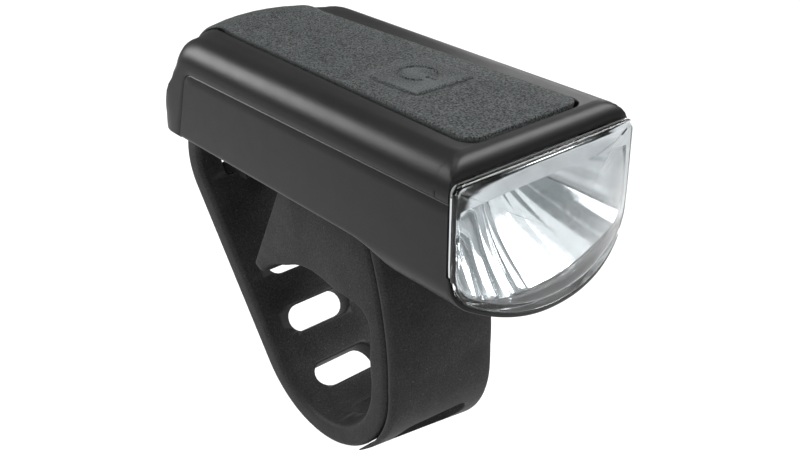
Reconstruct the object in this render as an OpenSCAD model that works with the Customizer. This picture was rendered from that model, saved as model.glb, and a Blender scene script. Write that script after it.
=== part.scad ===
// Rechargeable handlebar headlight held by a silicone ladder strap.
// X runs along the handlebar, Z is up, the beam leaves towards -Y, and the origin is on the handlebar's axis.

/* [Strap] */
// Handlebar diameter
bar_d = 31.8; // [28:0.1:34]
// Width of the strap along the handlebar
strap_w = 24; // [20:0.5:28]
// Thickness of the ladder strap
strap_t = 4.2; // [3.4:0.1:4.8]
// Thickness of the front band that lies over the strap
band_t = 2; // [1.5:0.1:2.6]
// Height from the handlebar's top to the housing's underside
saddle_rise = 18.7; // [17:0.1:22]
// Distance between the ladder slots along the strap
slot_pitch = 12.6; // [12.4:0.2:14]

/* [Housing] */
// Distance from the handlebar's axis forward to the lens rim
front_reach = 42.4; // [40:0.2:45]
// Width of the housing
body_w = 38; // [36:0.5:44]
// Length of the housing from the lens rim to the rear end
body_l = 82; // [80:0.5:90]
// Height of the housing over its underside
body_h = 19.2; // [18.6:0.1:21]
// Radius of the long top shoulders
shoulder_r = 7.5; // [6:0.1:8.5]
// Wall thickness of the two shells
wall = 1.8; // [1.5:0.1:2]
// Depth of the lamp head under the underside
head_drop = 7.6; // [6:0.1:8.5]

/* [Lamp] */
// Distance that the lens bulges in front of its rim
lens_bulge = 4.5; // [3.5:0.1:5.5]
// Focal length of the reflector's bowl
focal_length = 4.5; // [4.2:0.1:4.7]

/* [Controls] */
// Width of the button's key across the light
button_w = 12.3; // [10:0.1:14]
// Length of the button's key along the light
button_l = 11.2; // [9:0.1:13]
// Stroke of the button
button_stroke = 0.5; // [0.3:0.05:0.6]

/* [Hidden] */
$fn = 64;
EPS = 0.02;
FAR = 60;
// gap between pieces that move past each other
move_gap = 0.35;
// radial clearance of the switch plunger in its case
plunger_gap = 0.05;

// places of the light above the handlebar
bar_r = bar_d / 2;
base_z = bar_r + saddle_rise;

// outer form of the housing, in the light's frame: y = 0 at the lens rim, z = 0 at the underside
rear_r = 16;
plan_r = 8;
lip_r = 2.8;
rim_y = 0.6;
rear_centre = [body_l - rear_r, body_h - rear_r];
lens_top = body_h - lip_r;
chin_r = 34;
chin_corner_r = 4.6;
head_toe = 6;
head_back = 18.5;
head_join = 5;

// line where the two shells meet, seen from the side
parting_z = body_h - 5.7;
parting_rear = [body_l - 13.6, body_l - 9.4];
parting_r = 2.6;
parting_tilt = atan2(parting_rear[1] - parting_rear[0], parting_z);
seal_t = 0.6;
seal_inset = [0.5, 1.3];

// top pad and its recess
pad_front_y = 4;
pad_rear_y = body_l - 12.8;
pad_half = [12.2, 10.4];
pad_corner_r = 2.6;
recess_depth = 1.4;
pad_proud = 0.5;
pad_gap = 0.15;
flap_room = 0.6;
recess_z = body_h - recess_depth;
pad_top = body_h + pad_proud;
ceiling_t = 1.5;
ceiling_z = recess_z - ceiling_t;
// depth of the frame over the lamp's mouth
mouth_frame_t = 3.4;

// button, switch and boards
button_y = 27.1;
key_corner_r = 1.8;
key_proud = 0.4;
press_gap = 0.3;
key_floor = recess_z + button_stroke + press_gap;
post_r = 1.6;
post_hole_r = 3.4;
pcb_z = body_h - 5.5;
pcb_t = 1.2;
pcb_half = body_w / 2 - 7.5;
pcb_span = [19, body_l - 9.2];
pillar_r = 1.6;
pillar_x = 8.5;
pillar_y = [37, body_l - 24];
switch_w = 6;
switch_gap = 0.1;
switch_h = ceiling_z - pcb_z - pcb_t - switch_gap;
plunger_r = 1.45;
plunger_top = pcb_z + pcb_t + switch_h + button_stroke + press_gap;
plunger_foot = pcb_z + pcb_t + button_stroke + press_gap;

// charging port and its flap
flap_hinge = [body_l - 12.5, rear_centre[1] + sqrt(pow(rear_r + pad_proud, 2) - pow(3.5, 2))];
flap_half = 9.9;
flap_skin = 0.7;
flap_floor = rear_r - flap_skin - move_gap;
flap_low_z = 5.2;
flap_corner_r = 3;
plug_depth = wall + 0.4;
plug_r = [9.2, 12];
plug_half = 4.2;
port_half = [5.2, 2.2];
usb_size = [8.9, 7.3, 3.2];
usb_mouth = [8.3, 2.6];
usb_back_t = 1;
usb_back_y = body_l - 13.9;

// lamp pieces
lens_t = 2.2;
lens_rim = [wall + 0.1, wall + 1.1];
lens_rim_depth = 1.6;
lens_rim_root = 0.6;
lens_edge = [0.8, 1.2];
lens_seal_inset = [0.25, wall - 0.2];
optic_inset = wall + 0.2;
optic_flange_t = 1.2;
optic_shell_t = 1.4;
// the light source looks down into the bowl, whose focus it sits in
led_face_z = pcb_z - 1.5;
optic_z = led_face_z - 0.9;
bowl_y = 15.4;
led_y = bowl_y - focal_length;
flutes = 5;
flute_turn = 6.2;
flute_pitch = 12.4;
flute_start = 8;
flute_depth = 0.5;
flute_inner_r = 4;
bowl_steps = 14;
led_board_size = [18, 12.6, 1.2];
led_board_front = 4.4;
emitter_size = 3.4;
emitter_t = 0.7;
dome_r = 1.43;
sink_half = body_w / 2 - 7.5;
sink_span = [mouth_frame_t + 0.6, 16.5];
sink_plate_t = 1.2;
sink_fins = 7;
sink_fin_t = 1.2;
led_lead_r = 0.5;
led_lead_x = 4;
led_lead_end = 4;
lead_bend = 1;

// battery
tray_t = 0.8;
tray_span = [26, body_l - 20];
tray_half = body_w / 2 - wall - 1.3;
cell_headroom = 2.6;
cell_t = pcb_z - wall - tray_t - cell_headroom;
cell_corner_r = 2;
cell_gap = 0.1;
cell_end_gap = 0.2;
tray_wall_h = 4.5;
battery_lead_r = 0.6;
battery_lead_x = 3;
battery_lead_run = 6;
battery_lead_foot = 4;

// fasteners
boss_r = 2.5;
boss_y = [23.1, body_l - 17];
boss_places = [[-1, boss_y[0]], [1, boss_y[0]], [-1, boss_y[1]], [1, boss_y[1]]];
// the bosses grow out of the side walls
boss_bite = 0.4;
boss_x = body_w / 2 - wall - boss_r + boss_bite;
screw_r = 1;
screw_head_r = 1.9;
screw_head_z = [0.4, 1.7];
screw_tip_z = body_h - 3.6;
screw_drive = [0.8, 0.7];
mount_screw_r = 1.5;
mount_head_r = 2.8;
mount_head_t = 2;
mount_boss = [3.6, 2.6];
mount_screw_y = -3;
mount_floor_t = 4;
mount_drive = [1.3, 1.3];
screw_hole_gap = 0.1;
head_hole_gap = 0.2;
screw_end_gap = 0.2;

// saddle and strap, in the handlebar's frame
plate_t = 1.2;
plate_span = [-13.4, 7.4];
saddle_top = base_z - plate_t;
saddle_tip = [bar_r + 3, 10.2];
saddle_tip_in = 8.6;
saddle_tip_t = 3.6;
strap_r = bar_r + strap_t;
front_top_y = plate_span[0];
split_gap = 0.3;
slot_h = 6.2;
slot_l = strap_w * 2 / 3;
run_slots = 2;
first_slot = 5.6;
run_end = 38;
// slot that hangs on the hook, measured along the run as the others are
hook_slot = run_end + 2;
curl_r = 8;
curl_turn = 60;
// control point of the bowed front, and the polar angle where it meets the ring
front_bow = [-strap_r - 0.3, saddle_top * 0.48];
front_foot = 176;
bow_steps = 14;
band_steps = 20;
band_gap = 0.1;
// polar angles where the band starts to thin out and where it ends
band_thins = 188;
band_end = 226;
band_tip_t = 0.4;
band_slot_back = 15;
// point that the straight run of the strap aims at, over the rear of the light
run_aim = [37.6, base_z - 9.5];
run_angle = atan2(run_aim[1], run_aim[0]) - acos(bar_r / norm(run_aim));
run_heading = run_angle + 90;

// hook that the strap hangs on
hook_w = 13;
hook_plate = [21.5, 33];
hook_plate_t = 2;
hook_stem = [28.2, 31];
tongue_t = 2.6;
tongue_reach = 3.2;
// how far the tongue sits under the middle of its slot
tongue_low = 1;
// how far the tongue starts inside the strap
tongue_back = 2;
lip_h = 0.7;
lip_t = 1.4;
lip_slope = 1.2;
stem_brace = 2.5;

// points of an arc in the plane
function arc(centre, r, from, to, steps) =
    [for (i = [0 : steps]) let (a = from + (to - from) * i / steps) centre + r * [cos(a), sin(a)]];

// point on a polar angle round the handlebar, as [y, z]
function round_bar(r, angle) = r * [cos(angle), sin(angle)];

// points of a curve that starts and ends at two points and bends towards a third
function bow(from, bend, to) =
    [for (i = [0 : bow_steps]) let (t = i / bow_steps)
        (1 - t) * (1 - t) * from + 2 * t * (1 - t) * bend + t * t * to];

// point on the strap's straight run, a distance along it and out from its inner face
function on_run(along, out = 0) =
    round_bar(bar_r + out, run_angle) + along * [cos(run_heading), sin(run_heading)];

// frame of the light over the handlebar
module light_frame() {
    translate([0, -front_reach, base_z]) children();
}

// extrusion of an x-z outline from one y to another
module along_y(from, to) {
    translate([0, to, 0]) rotate([90, 0, 0]) linear_extrude(to - from) children();
}

// extrusion of a y-z outline to both sides of x = 0
module along_x(half) {
    rotate([90, 0, 90]) translate([0, 0, -half]) linear_extrude(2 * half) children();
}

// what is cut off a corner to leave a quarter round, for the corner towards the signs given
module corner_off(centre, r, signs) {
    translate(centre) difference() {
        translate([signs[0] > 0 ? 0 : -2 * r, signs[1] > 0 ? 0 : -2 * r]) square(2 * r);
        circle(r);
    }
}

module front_outline(inset) {
    half = body_w / 2 - inset;
    r = shoulder_r - inset;
    difference() {
        translate([-half, inset]) square([2 * half, body_h - 2 * inset]);
        for (side = [-1, 1]) corner_off([side * (half - r), body_h - inset - r], r, [side, 1]);
    }
}

// side view of the housing: an inset form runs on through the open front
module side_outline(inset) {
    start = rim_y - (inset > 0 ? 1 : 0);
    difference() {
        translate([start, inset]) square([body_l - inset - start, body_h - 2 * inset]);
        corner_off(rear_centre, rear_r - inset, [1, 1]);
        if (inset == 0) corner_off([rim_y + lip_r, body_h - lip_r], lip_r, [-1, 1]);
    }
}

module plan_outline(inset) {
    half = body_w / 2 - inset;
    r = plan_r - inset;
    difference() {
        translate([-half, -1]) square([2 * half, body_l + 1 - inset]);
        for (side = [-1, 1]) corner_off([side * (half - r), body_l - inset - r], r, [side, 1]);
    }
}

module body_form(inset) {
    intersection() {
        along_y(-1, body_l) front_outline(inset);
        along_x(body_w / 2) side_outline(inset);
        linear_extrude(body_h) plan_outline(inset);
    }
}

// lower edge of the lamp head seen from the front, right to left: round corners and a shallow arc between
function chin_points(inset) =
    let (r = chin_corner_r - inset, corner_x = body_w / 2 - inset - r, centre_z = chin_r - head_drop)
    let (corner_z = centre_z - sqrt(pow(chin_r - inset - r, 2) - pow(corner_x, 2)))
    let (turn = atan2(corner_z - centre_z, corner_x))
    concat(arc([corner_x, corner_z], r, 0, turn, 6),
        arc([0, centre_z], chin_r - inset, turn, -180 - turn, 16),
        arc([-corner_x, corner_z], r, -180 - turn, -180, 6));

module chin_outline(inset) {
    half = body_w / 2 - inset;
    polygon(concat([[half, head_join]], chin_points(inset), [[-half, head_join]]));
}

module head_form(inset) {
    slope = atan2(head_drop, head_back - head_toe);
    shift = inset / sin(slope);
    start = rim_y - (inset > 0 ? 1 : 0);
    intersection() {
        along_y(start, head_back) chin_outline(inset);
        along_x(body_w / 2) polygon([[start, head_join], [start, -head_drop], [head_toe - shift, -head_drop],
            [head_back - shift, 0], [head_back - shift, head_join]]);
    }
}

// outline of the lens and of the lamp's mouth: the chin below and cut-off shoulders above
module mouth_outline(inset) {
    half = body_w / 2 - inset;
    r = shoulder_r - inset;
    shoulder = [half - r, body_h - inset - r];
    reach = asin((lens_top - inset - shoulder[1]) / r);
    polygon(concat(chin_points(inset), arc([-shoulder[0], shoulder[1]], r, 180, 180 - reach, 8),
        arc(shoulder, r, reach, 0, 8)));
}

module mouth_ring(outer, inner) {
    difference() {
        mouth_outline(outer);
        mouth_outline(inner);
    }
}

// side view of everything under the parting line, or as far inside that as a depth
module lower_side(depth) {
    centre_z = parting_z - parting_r;
    line_y = parting_rear[1] - centre_z * tan(parting_tilt);
    foot_y = parting_rear[1] - depth / cos(parting_tilt);
    polygon(concat([[-FAR, -FAR], [foot_y, -FAR], [foot_y, 0]],
        arc([line_y - parting_r / cos(parting_tilt), centre_z], parting_r - depth, parting_tilt, 90, 8),
        [[-FAR, parting_z - depth]]));
}

// room inside the shells, lower behind the frame over the lamp's mouth
module cavity() {
    intersection() {
        union() {
            body_form(wall);
            head_form(wall);
        }
        along_x(body_w) polygon([[-FAR, -FAR], [4 * FAR, -FAR], [4 * FAR, ceiling_z],
            [mouth_frame_t, ceiling_z], [mouth_frame_t, lens_top - wall], [-FAR, lens_top - wall]]);
    }
}

module pad_outline(grow, rear) {
    r = pad_corner_r + grow;
    hull() {
        for (side = [-1, 1]) {
            translate([side * (pad_half[0] + grow - r), pad_front_y - grow + r]) circle(r, $fn = 32);
            translate([side * (pad_half[1] + grow) - (side > 0 ? 1 : 0), rear - 1]) square(1);
        }
    }
}

module key_outline(grow) {
    r = key_corner_r + grow;
    size = [button_w / 2 + grow, button_l / 2 + grow];
    translate([0, button_y]) union() {
        translate([-size[0] + r, -size[1]]) square([2 * (size[0] - r), 2 * size[1]]);
        translate([-size[0], -size[1] + r]) square([2 * size[0], 2 * (size[1] - r)]);
        for (i = [-1, 1], j = [-1, 1]) translate([i * (size[0] - r), j * (size[1] - r)]) circle(r);
    }
}

// flap's strip round the rear end, seen from the side
module flap_side(inner, outer, front, low) {
    intersection() {
        translate(rear_centre) difference() {
            circle(outer, $fn = 96);
            circle(inner, $fn = 96);
        }
        translate([front, low]) square(FAR);
    }
}

// plug of the flap seen from the side: it turns about the flap's hinge
module plug_side(inner_r, outer_r, depth) {
    intersection() {
        translate(flap_hinge) difference() {
            circle(outer_r, $fn = 96);
            circle(inner_r, $fn = 96);
        }
        flap_side(rear_r - depth, rear_r - flap_skin + EPS, flap_hinge[0] + 2, flap_low_z);
    }
}

module screw_at(place) {
    translate([place[0] * boss_x, place[1], 0]) children();
}

module upper_housing() {
    color("#3a3a39") light_frame() difference() {
        union() {
            difference() {
                body_form(0);
                cavity();
            }
            intersection() {
                body_form(EPS);
                union() {
                    for (place = boss_places) screw_at(place) translate([0, 0, parting_z])
                        cylinder(r = boss_r, h = recess_z - parting_z);
                    for (side = [-1, 1], y = pillar_y) translate([side * pillar_x, y, pcb_z + pcb_t])
                        cylinder(r = pillar_r, h = ceiling_z - pcb_z - pcb_t + EPS);
                }
            }
        }
        along_x(body_w) lower_side(0);
        translate([0, 0, recess_z]) linear_extrude(FAR) pad_outline(pad_gap, pad_rear_y + flap_room);
        along_x(flap_half + move_gap) flap_side(flap_floor, rear_r + 2, pad_rear_y, flap_low_z - move_gap);
        translate([0, button_y, ceiling_z - 1]) cylinder(r = post_hole_r, h = FAR);
        translate([-port_half[0], usb_back_y + usb_size[1], pcb_z - usb_size[2] / 2 - port_half[1]])
            cube([2 * port_half[0], FAR, 2 * port_half[1]]);
        along_x(plug_half + move_gap) plug_side(plug_r[0] - move_gap, plug_r[1] + move_gap, wall + 1);
        for (place = boss_places) screw_at(place) cylinder(r = screw_r, h = screw_tip_z);
    }
}

module lower_housing() {
    color("#343433") light_frame() difference() {
        intersection() {
            union() {
                difference() {
                    union() {
                        body_form(0);
                        head_form(0);
                    }
                    cavity();
                }
                for (place = boss_places) screw_at(place) translate([0, 0, wall - EPS])
                    cylinder(r = boss_r, h = FAR / 4);
                translate([0, front_reach + mount_screw_y, wall - EPS])
                    cylinder(r = mount_boss[0], h = mount_boss[1] - wall + EPS);
            }
            along_x(body_w) lower_side(0);
        }
        seal_form();
        for (place = boss_places) screw_at(place) {
            translate([0, 0, -1]) cylinder(r = screw_r, h = FAR);
            translate([0, 0, -1]) cylinder(r = screw_head_r, h = screw_head_z[1] + 1);
        }
        translate([0, front_reach + mount_screw_y, -1]) cylinder(r = mount_screw_r, h = FAR / 4);
    }
}

// seal strip under the parting line, inside the wall's thickness
module seal_form() {
    intersection() {
        difference() {
            body_form(seal_inset[0]);
            body_form(seal_inset[1]);
        }
        along_x(body_w) difference() {
            lower_side(0);
            lower_side(seal_t);
        }
        translate([-FAR, rim_y + 1.2, -FAR]) cube(3 * FAR);
    }
}

module housing_seal() {
    color("#202020") light_frame() seal_form();
}

module housing_screws() {
    color("silver") light_frame() for (place = boss_places) screw_at(place) difference() {
        union() {
            translate([0, 0, screw_head_z[0]])
                cylinder(r = screw_head_r, h = screw_head_z[1] - screw_head_z[0]);
            translate([0, 0, screw_head_z[0]]) cylinder(r = screw_r, h = screw_tip_z - screw_head_z[0]);
        }
        translate([0, 0, screw_head_z[0] - EPS]) cylinder(r = screw_drive[0], h = screw_drive[1], $fn = 6);
    }
}

// pillow that bounds the lens, moved inwards by a depth
module lens_pillow(depth) {
    half = body_w / 2;
    plan_sag = lens_bulge - lens_edge[0];
    plan_bow = (half * half + plan_sag * plan_sag) / (2 * plan_sag);
    tall = (lens_top + head_drop) / 2;
    side_sag = lens_bulge - lens_edge[1];
    side_bow = (tall * tall + side_sag * side_sag) / (2 * side_sag);
    intersection() {
        translate([0, plan_bow - lens_bulge, -FAR / 2]) cylinder(r = plan_bow - depth, h = FAR, $fn = 180);
        translate([-FAR / 2, side_bow - lens_bulge, lens_top - tall]) rotate([0, 90, 0])
            cylinder(r = side_bow - depth, h = FAR, $fn = 180);
    }
}

module lens() {
    color("#dfe6ea", 0.5) light_frame() union() {
        difference() {
            intersection() {
                along_y(-lens_bulge - 1, 0) mouth_outline(0);
                lens_pillow(0);
            }
            intersection() {
                along_y(-lens_bulge - 1, 1) mouth_outline(lens_t);
                lens_pillow(lens_t);
            }
        }
        along_y(-lens_rim_root, lens_rim_depth) mouth_ring(lens_rim[0], lens_rim[1]);
    }
}

module lens_seal() {
    color("#b8bcbc") light_frame() along_y(0, rim_y) mouth_ring(lens_seal_inset[0], lens_seal_inset[1]);
}

// solid of revolution inside a paraboloid that opens towards the lens, from a radius outwards, moved back
module paraboloid(depth, start, turn) {
    height = bowl_y + 1;
    reach = sqrt(4 * focal_length * height);
    step = (reach - start) / bowl_steps;
    curve = [for (i = [0 : bowl_steps]) let (r = start + step * i) [r, r * r / (4 * focal_length) - depth]];
    translate([0, bowl_y, optic_z]) rotate([90, 0, 0]) rotate_extrude(angle = turn)
        polygon(concat([[start, height - depth]], curve));
}

// bowl of the reflector with flutes on both sides of its middle, below the light source
module bowl() {
    first = 270 + flute_start;
    intersection() {
        union() {
            paraboloid(0, 0, 360);
            for (i = [0 : flutes - 1], side = [0, 1]) translate([0, 0, optic_z]) mirror([side, 0, 0])
                rotate([0, -first - i * flute_pitch, 0]) translate([0, 0, -optic_z])
                    paraboloid(flute_depth, flute_inner_r, flute_turn);
        }
        translate([-FAR, -FAR, led_face_z - 2 * FAR]) cube([2 * FAR, 2 * FAR, 2 * FAR]);
    }
}

module reflector() {
    flange = [lens_rim_depth, lens_rim_depth + optic_flange_t];
    color("#d9dcde") light_frame() difference() {
        union() {
            intersection() {
                paraboloid(optic_shell_t, 0, 360);
                translate([-FAR, flange[0], led_face_z - FAR]) cube([2 * FAR, FAR, FAR]);
            }
            along_y(flange[0], flange[1]) mouth_outline(optic_inset);
        }
        bowl();
    }
}

module led_board() {
    color("#e8e8e4") light_frame() translate([-led_board_size[0] / 2, led_board_front, led_face_z])
        cube(led_board_size);
}

module led_emitter() {
    color("#f2d23c") light_frame() translate([0, led_y, led_face_z - emitter_t]) {
        translate([-emitter_size / 2, -emitter_size / 2, 0]) cube([emitter_size, emitter_size, emitter_t]);
        intersection() {
            sphere(dome_r);
            translate([-FAR / 2, -FAR / 2, -FAR + EPS]) cube(FAR);
        }
    }
}

module heat_sink() {
    pitch = (2 * sink_half - sink_fin_t) / (sink_fins - 1);
    foot_z = led_face_z + led_board_size[2];
    length = sink_span[1] - sink_span[0];
    color("#b9bcc0") light_frame() translate([-sink_half, sink_span[0], foot_z]) {
        cube([2 * sink_half, length, sink_plate_t]);
        for (i = [0 : sink_fins - 1]) translate([i * pitch, 0, 0])
            cube([sink_fin_t, length, ceiling_z - foot_z]);
    }
}

// the leads leave the back of the light source's board and run under the main board
module led_leads() {
    start = led_board_front + led_board_size[1];
    color("#b02a20") light_frame() for (side = [-1, 1])
        translate([side * led_lead_x, start, pcb_z - led_lead_r]) rotate([-90, 0, 0])
            cylinder(r = led_lead_r, h = pcb_span[0] + led_lead_end - start, $fn = 24);
}

// the leads rise from the cell, bend and run back under the main board
module battery_leads() {
    r = battery_lead_r;
    foot = [battery_lead_x, tray_span[0] + battery_lead_foot, wall + tray_t + cell_t];
    rise = pcb_z - foot[2] - r - lead_bend;
    color("#b02a20") light_frame() for (side = [-1, 1]) translate([side * foot[0], foot[1], foot[2]]) {
        cylinder(r = r, h = rise, $fn = 24);
        translate([0, lead_bend, rise]) rotate([90, 0, -90])
            rotate_extrude(angle = 90, $fn = 48) translate([lead_bend, 0]) circle(r, $fn = 24);
        translate([0, lead_bend, rise + lead_bend]) rotate([-90, 0, 0])
            cylinder(r = r, h = battery_lead_run, $fn = 24);
    }
}

module main_board() {
    color("#1f6b3a") light_frame() translate([-pcb_half, pcb_span[0], pcb_z])
        cube([2 * pcb_half, pcb_span[1] - pcb_span[0], pcb_t]);
}

module tact_switch() {
    color("#2a2a2c") light_frame() translate([0, button_y, pcb_z + pcb_t]) difference() {
        translate([-switch_w / 2, -switch_w / 2, 0]) cube([switch_w, switch_w, switch_h]);
        translate([0, 0, -EPS]) cylinder(r = plunger_r + plunger_gap, h = switch_h + 1);
    }
}

module switch_plunger() {
    color("#d8d2c0") light_frame() translate([0, button_y, plunger_foot])
        cylinder(r = plunger_r, h = plunger_top - plunger_foot);
}

module button_key() {
    color("#5c6060") light_frame() {
        translate([0, 0, key_floor]) linear_extrude(pad_top + key_proud - key_floor) key_outline(0);
        translate([0, button_y, plunger_top]) cylinder(r = post_r, h = key_floor - plunger_top + EPS);
    }
}

module top_pad() {
    color("#555a5a") light_frame() difference() {
        translate([0, 0, recess_z]) linear_extrude(pad_top - recess_z) pad_outline(0, pad_rear_y);
        translate([0, 0, recess_z - 1]) linear_extrude(FAR) key_outline(move_gap);
    }
}

module port_flap() {
    color("#555a5a") light_frame() union() {
        intersection() {
            along_x(flap_half) flap_side(rear_r - flap_skin, rear_r + pad_proud, flap_hinge[0], flap_low_z);
            along_y(0, 2 * body_l) union() {
                translate([-flap_half, flap_low_z + flap_corner_r]) square([2 * flap_half, FAR]);
                translate([-flap_half + flap_corner_r, flap_low_z])
                    square([2 * (flap_half - flap_corner_r), FAR]);
                for (side = [-1, 1]) translate([side * (flap_half - flap_corner_r), flap_low_z + flap_corner_r])
                    circle(flap_corner_r);
            }
        }
        along_x(plug_half) plug_side(plug_r[0], plug_r[1], plug_depth);
    }
}

module usb_socket() {
    flat = usb_mouth[0] - usb_mouth[1];
    color("#c4c6c8") light_frame() translate([0, usb_back_y, pcb_z - usb_size[2] / 2]) difference() {
        translate([-usb_size[0] / 2, 0, -usb_size[2] / 2]) cube(usb_size);
        translate([0, usb_back_t, 0]) rotate([-90, 0, 0]) linear_extrude(FAR) union() {
            square([flat, usb_mouth[1]], center = true);
            for (side = [-1, 1]) translate([side * flat / 2, 0]) circle(usb_mouth[1] / 2);
        }
    }
}

module battery_cell() {
    half = tray_half - tray_t - cell_gap;
    ends = tray_t + cell_end_gap;
    corner_x = half - cell_corner_r;
    color("#9aa0a6") light_frame() translate([0, 0, wall + tray_t])
        along_y(tray_span[0] + ends, tray_span[1] - ends) union() {
            translate([-corner_x, 0]) square([2 * corner_x, cell_t]);
            translate([-half, cell_corner_r]) square([2 * half, cell_t - 2 * cell_corner_r]);
            for (side = [-1, 1], z = [cell_corner_r, cell_t - cell_corner_r]) translate([side * corner_x, z])
                circle(cell_corner_r);
        }
}

module battery_tray() {
    length = tray_span[1] - tray_span[0];
    color("#4b4b4b") light_frame() difference() {
        translate([-tray_half, tray_span[0], wall]) difference() {
            cube([2 * tray_half, length, tray_wall_h]);
            translate([tray_t, tray_t, tray_t]) cube([2 * (tray_half - tray_t), length - 2 * tray_t, FAR]);
        }
        translate([0, front_reach + mount_screw_y, 0]) cylinder(r = mount_boss[0] + head_hole_gap, h = FAR / 4);
    }
}

module mount_plate() {
    color("#1c1c1c") difference() {
        translate([-strap_w / 2, plate_span[0], saddle_top])
            cube([strap_w, plate_span[1] - plate_span[0], plate_t]);
        translate([0, mount_screw_y, 0]) cylinder(r = mount_screw_r + screw_hole_gap, h = FAR);
    }
}

module mount_screw() {
    head_z = saddle_top - mount_floor_t - mount_head_t;
    tip_z = base_z + mount_boss[1] - screw_end_gap;
    color("silver") translate([0, mount_screw_y, 0]) difference() {
        union() {
            translate([0, 0, head_z]) cylinder(r = mount_head_r, h = mount_head_t);
            translate([0, 0, head_z]) cylinder(r = mount_screw_r, h = tip_z - head_z);
        }
        translate([0, 0, head_z - EPS]) cylinder(r = mount_drive[0], h = mount_drive[1], $fn = 6);
    }
}

// stadium cutter through the strap, its length along X, turned in the y-z plane by a heading
module slot_cut(centre, heading) {
    flat = slot_l - slot_h;
    translate([0, centre[0], centre[1]]) rotate([heading, 0, 0]) linear_extrude(6 * strap_t, center = true)
        union() {
            square([flat, slot_h], center = true);
            for (side = [-1, 1]) translate([side * flat / 2, 0]) circle(slot_h / 2);
        }
}

// polar angle of a ladder slot that lies on the round part of the strap
function slot_angle(index) = run_angle + (first_slot + index * slot_pitch) / bar_r * 180 / PI;

module bar_saddle() {
    color("#2b2b2b") difference() {
        along_x(strap_w / 2) polygon(concat([[plate_span[1], saddle_top], saddle_tip,
            [saddle_tip[0] - saddle_tip_t, saddle_tip_in], [-split_gap / 2, 0]],
            arc([0, 0], strap_r, 270 - asin(split_gap / 2 / strap_r), front_foot + 1, 32),
            bow(round_bar(strap_r, front_foot), front_bow, [front_top_y, saddle_top])));
        rotate([0, 90, 0]) cylinder(r = bar_r, h = FAR, center = true, $fn = 128);
        slot_cut(round_bar(bar_r, slot_angle(-2)), slot_angle(-2) + 90);
        translate([0, mount_screw_y, 0])
            cylinder(r = mount_head_r + head_hole_gap, h = saddle_top - mount_floor_t);
        translate([0, mount_screw_y, 0]) cylinder(r = mount_screw_r + screw_hole_gap, h = FAR);
    }
}

// thickness of the front band at a polar angle
function band_thick(angle) =
    let (t = min(max((angle - band_thins) / (band_end - band_thins), 0), 1))
    band_t - (band_t - band_tip_t) * t * t * (3 - 2 * t);

module front_band() {
    inner = strap_r + band_gap;
    outer = inner + band_t;
    first = front_foot + 1;
    top = [front_top_y - band_gap, base_z];
    bow_in = front_bow - [band_gap, 0];
    bow_out = bow_in - [band_t, 0];
    slot_at = band_end - band_slot_back;
    color("#2b2b2b") difference() {
        along_x(strap_w / 2) polygon(concat([top],
            bow([top[0], saddle_top], bow_in, round_bar(inner, front_foot)),
            arc([0, 0], inner, first, band_end, band_steps),
            [for (i = [0 : band_steps]) let (a = band_end + (first - band_end) * i / band_steps)
                round_bar(inner + band_thick(a), a)],
            bow(round_bar(outer, front_foot), bow_out, [top[0] - band_t, base_z])));
        slot_cut(round_bar(inner, slot_at), slot_at + 90);
    }
}

module strap_tail() {
    bend = on_run(run_end) - curl_r * round_bar(1, run_angle);
    color("#2b2b2b") difference() {
        along_x(strap_w / 2) polygon(concat(arc([0, 0], bar_r, -90, run_angle, 16),
            arc(bend, curl_r, run_angle, run_angle + curl_turn, 10),
            arc(bend, curl_r + strap_t, run_angle + curl_turn, run_angle, 10),
            arc([0, 0], strap_r, run_angle, -90, 16)));
        along_x(FAR) translate([-FAR + split_gap / 2, -FAR]) square([FAR, FAR]);
        slot_cut(round_bar(bar_r, slot_angle(-1)), slot_angle(-1) + 90);
        for (i = [0 : run_slots - 1]) slot_cut(on_run(first_slot + i * slot_pitch), run_heading);
        slot_cut(on_run(hook_slot), run_heading);
    }
}

module strap_hook() {
    at = hook_slot - tongue_low;
    tip = strap_t + tongue_reach;
    low = at - tongue_t / 2;
    high = at + tongue_t / 2;
    root_low = on_run(low, -tongue_back);
    root_high = on_run(high, -tongue_back);
    color("#262626") along_x(hook_w / 2) union() {
        translate([hook_plate[0], base_z - hook_plate_t])
            square([hook_plate[1] - hook_plate[0], hook_plate_t]);
        polygon([[hook_stem[0], base_z], [hook_stem[0], root_low[1]], root_low, on_run(low, tip),
            on_run(high + lip_h, tip), on_run(high + lip_h, tip - lip_t), on_run(high, tip - lip_t - lip_slope),
            root_high, [hook_stem[1], root_high[1] + stem_brace], [hook_stem[1], base_z]]);
    }
}

upper_housing();
lower_housing();
housing_seal();
housing_screws();
lens();
lens_seal();
reflector();
led_board();
led_emitter();
heat_sink();
led_leads();
main_board();
tact_switch();
switch_plunger();
button_key();
top_pad();
port_flap();
usb_socket();
battery_cell();
battery_tray();
battery_leads();
mount_plate();
mount_screw();
bar_saddle();
front_band();
strap_tail();
strap_hook();
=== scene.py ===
from math import asin, atan2, cos, degrees, pi, radians, sin, sqrt, tan

import bmesh
import bpy
import numpy as np
from mathutils import Matrix, Vector


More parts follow.
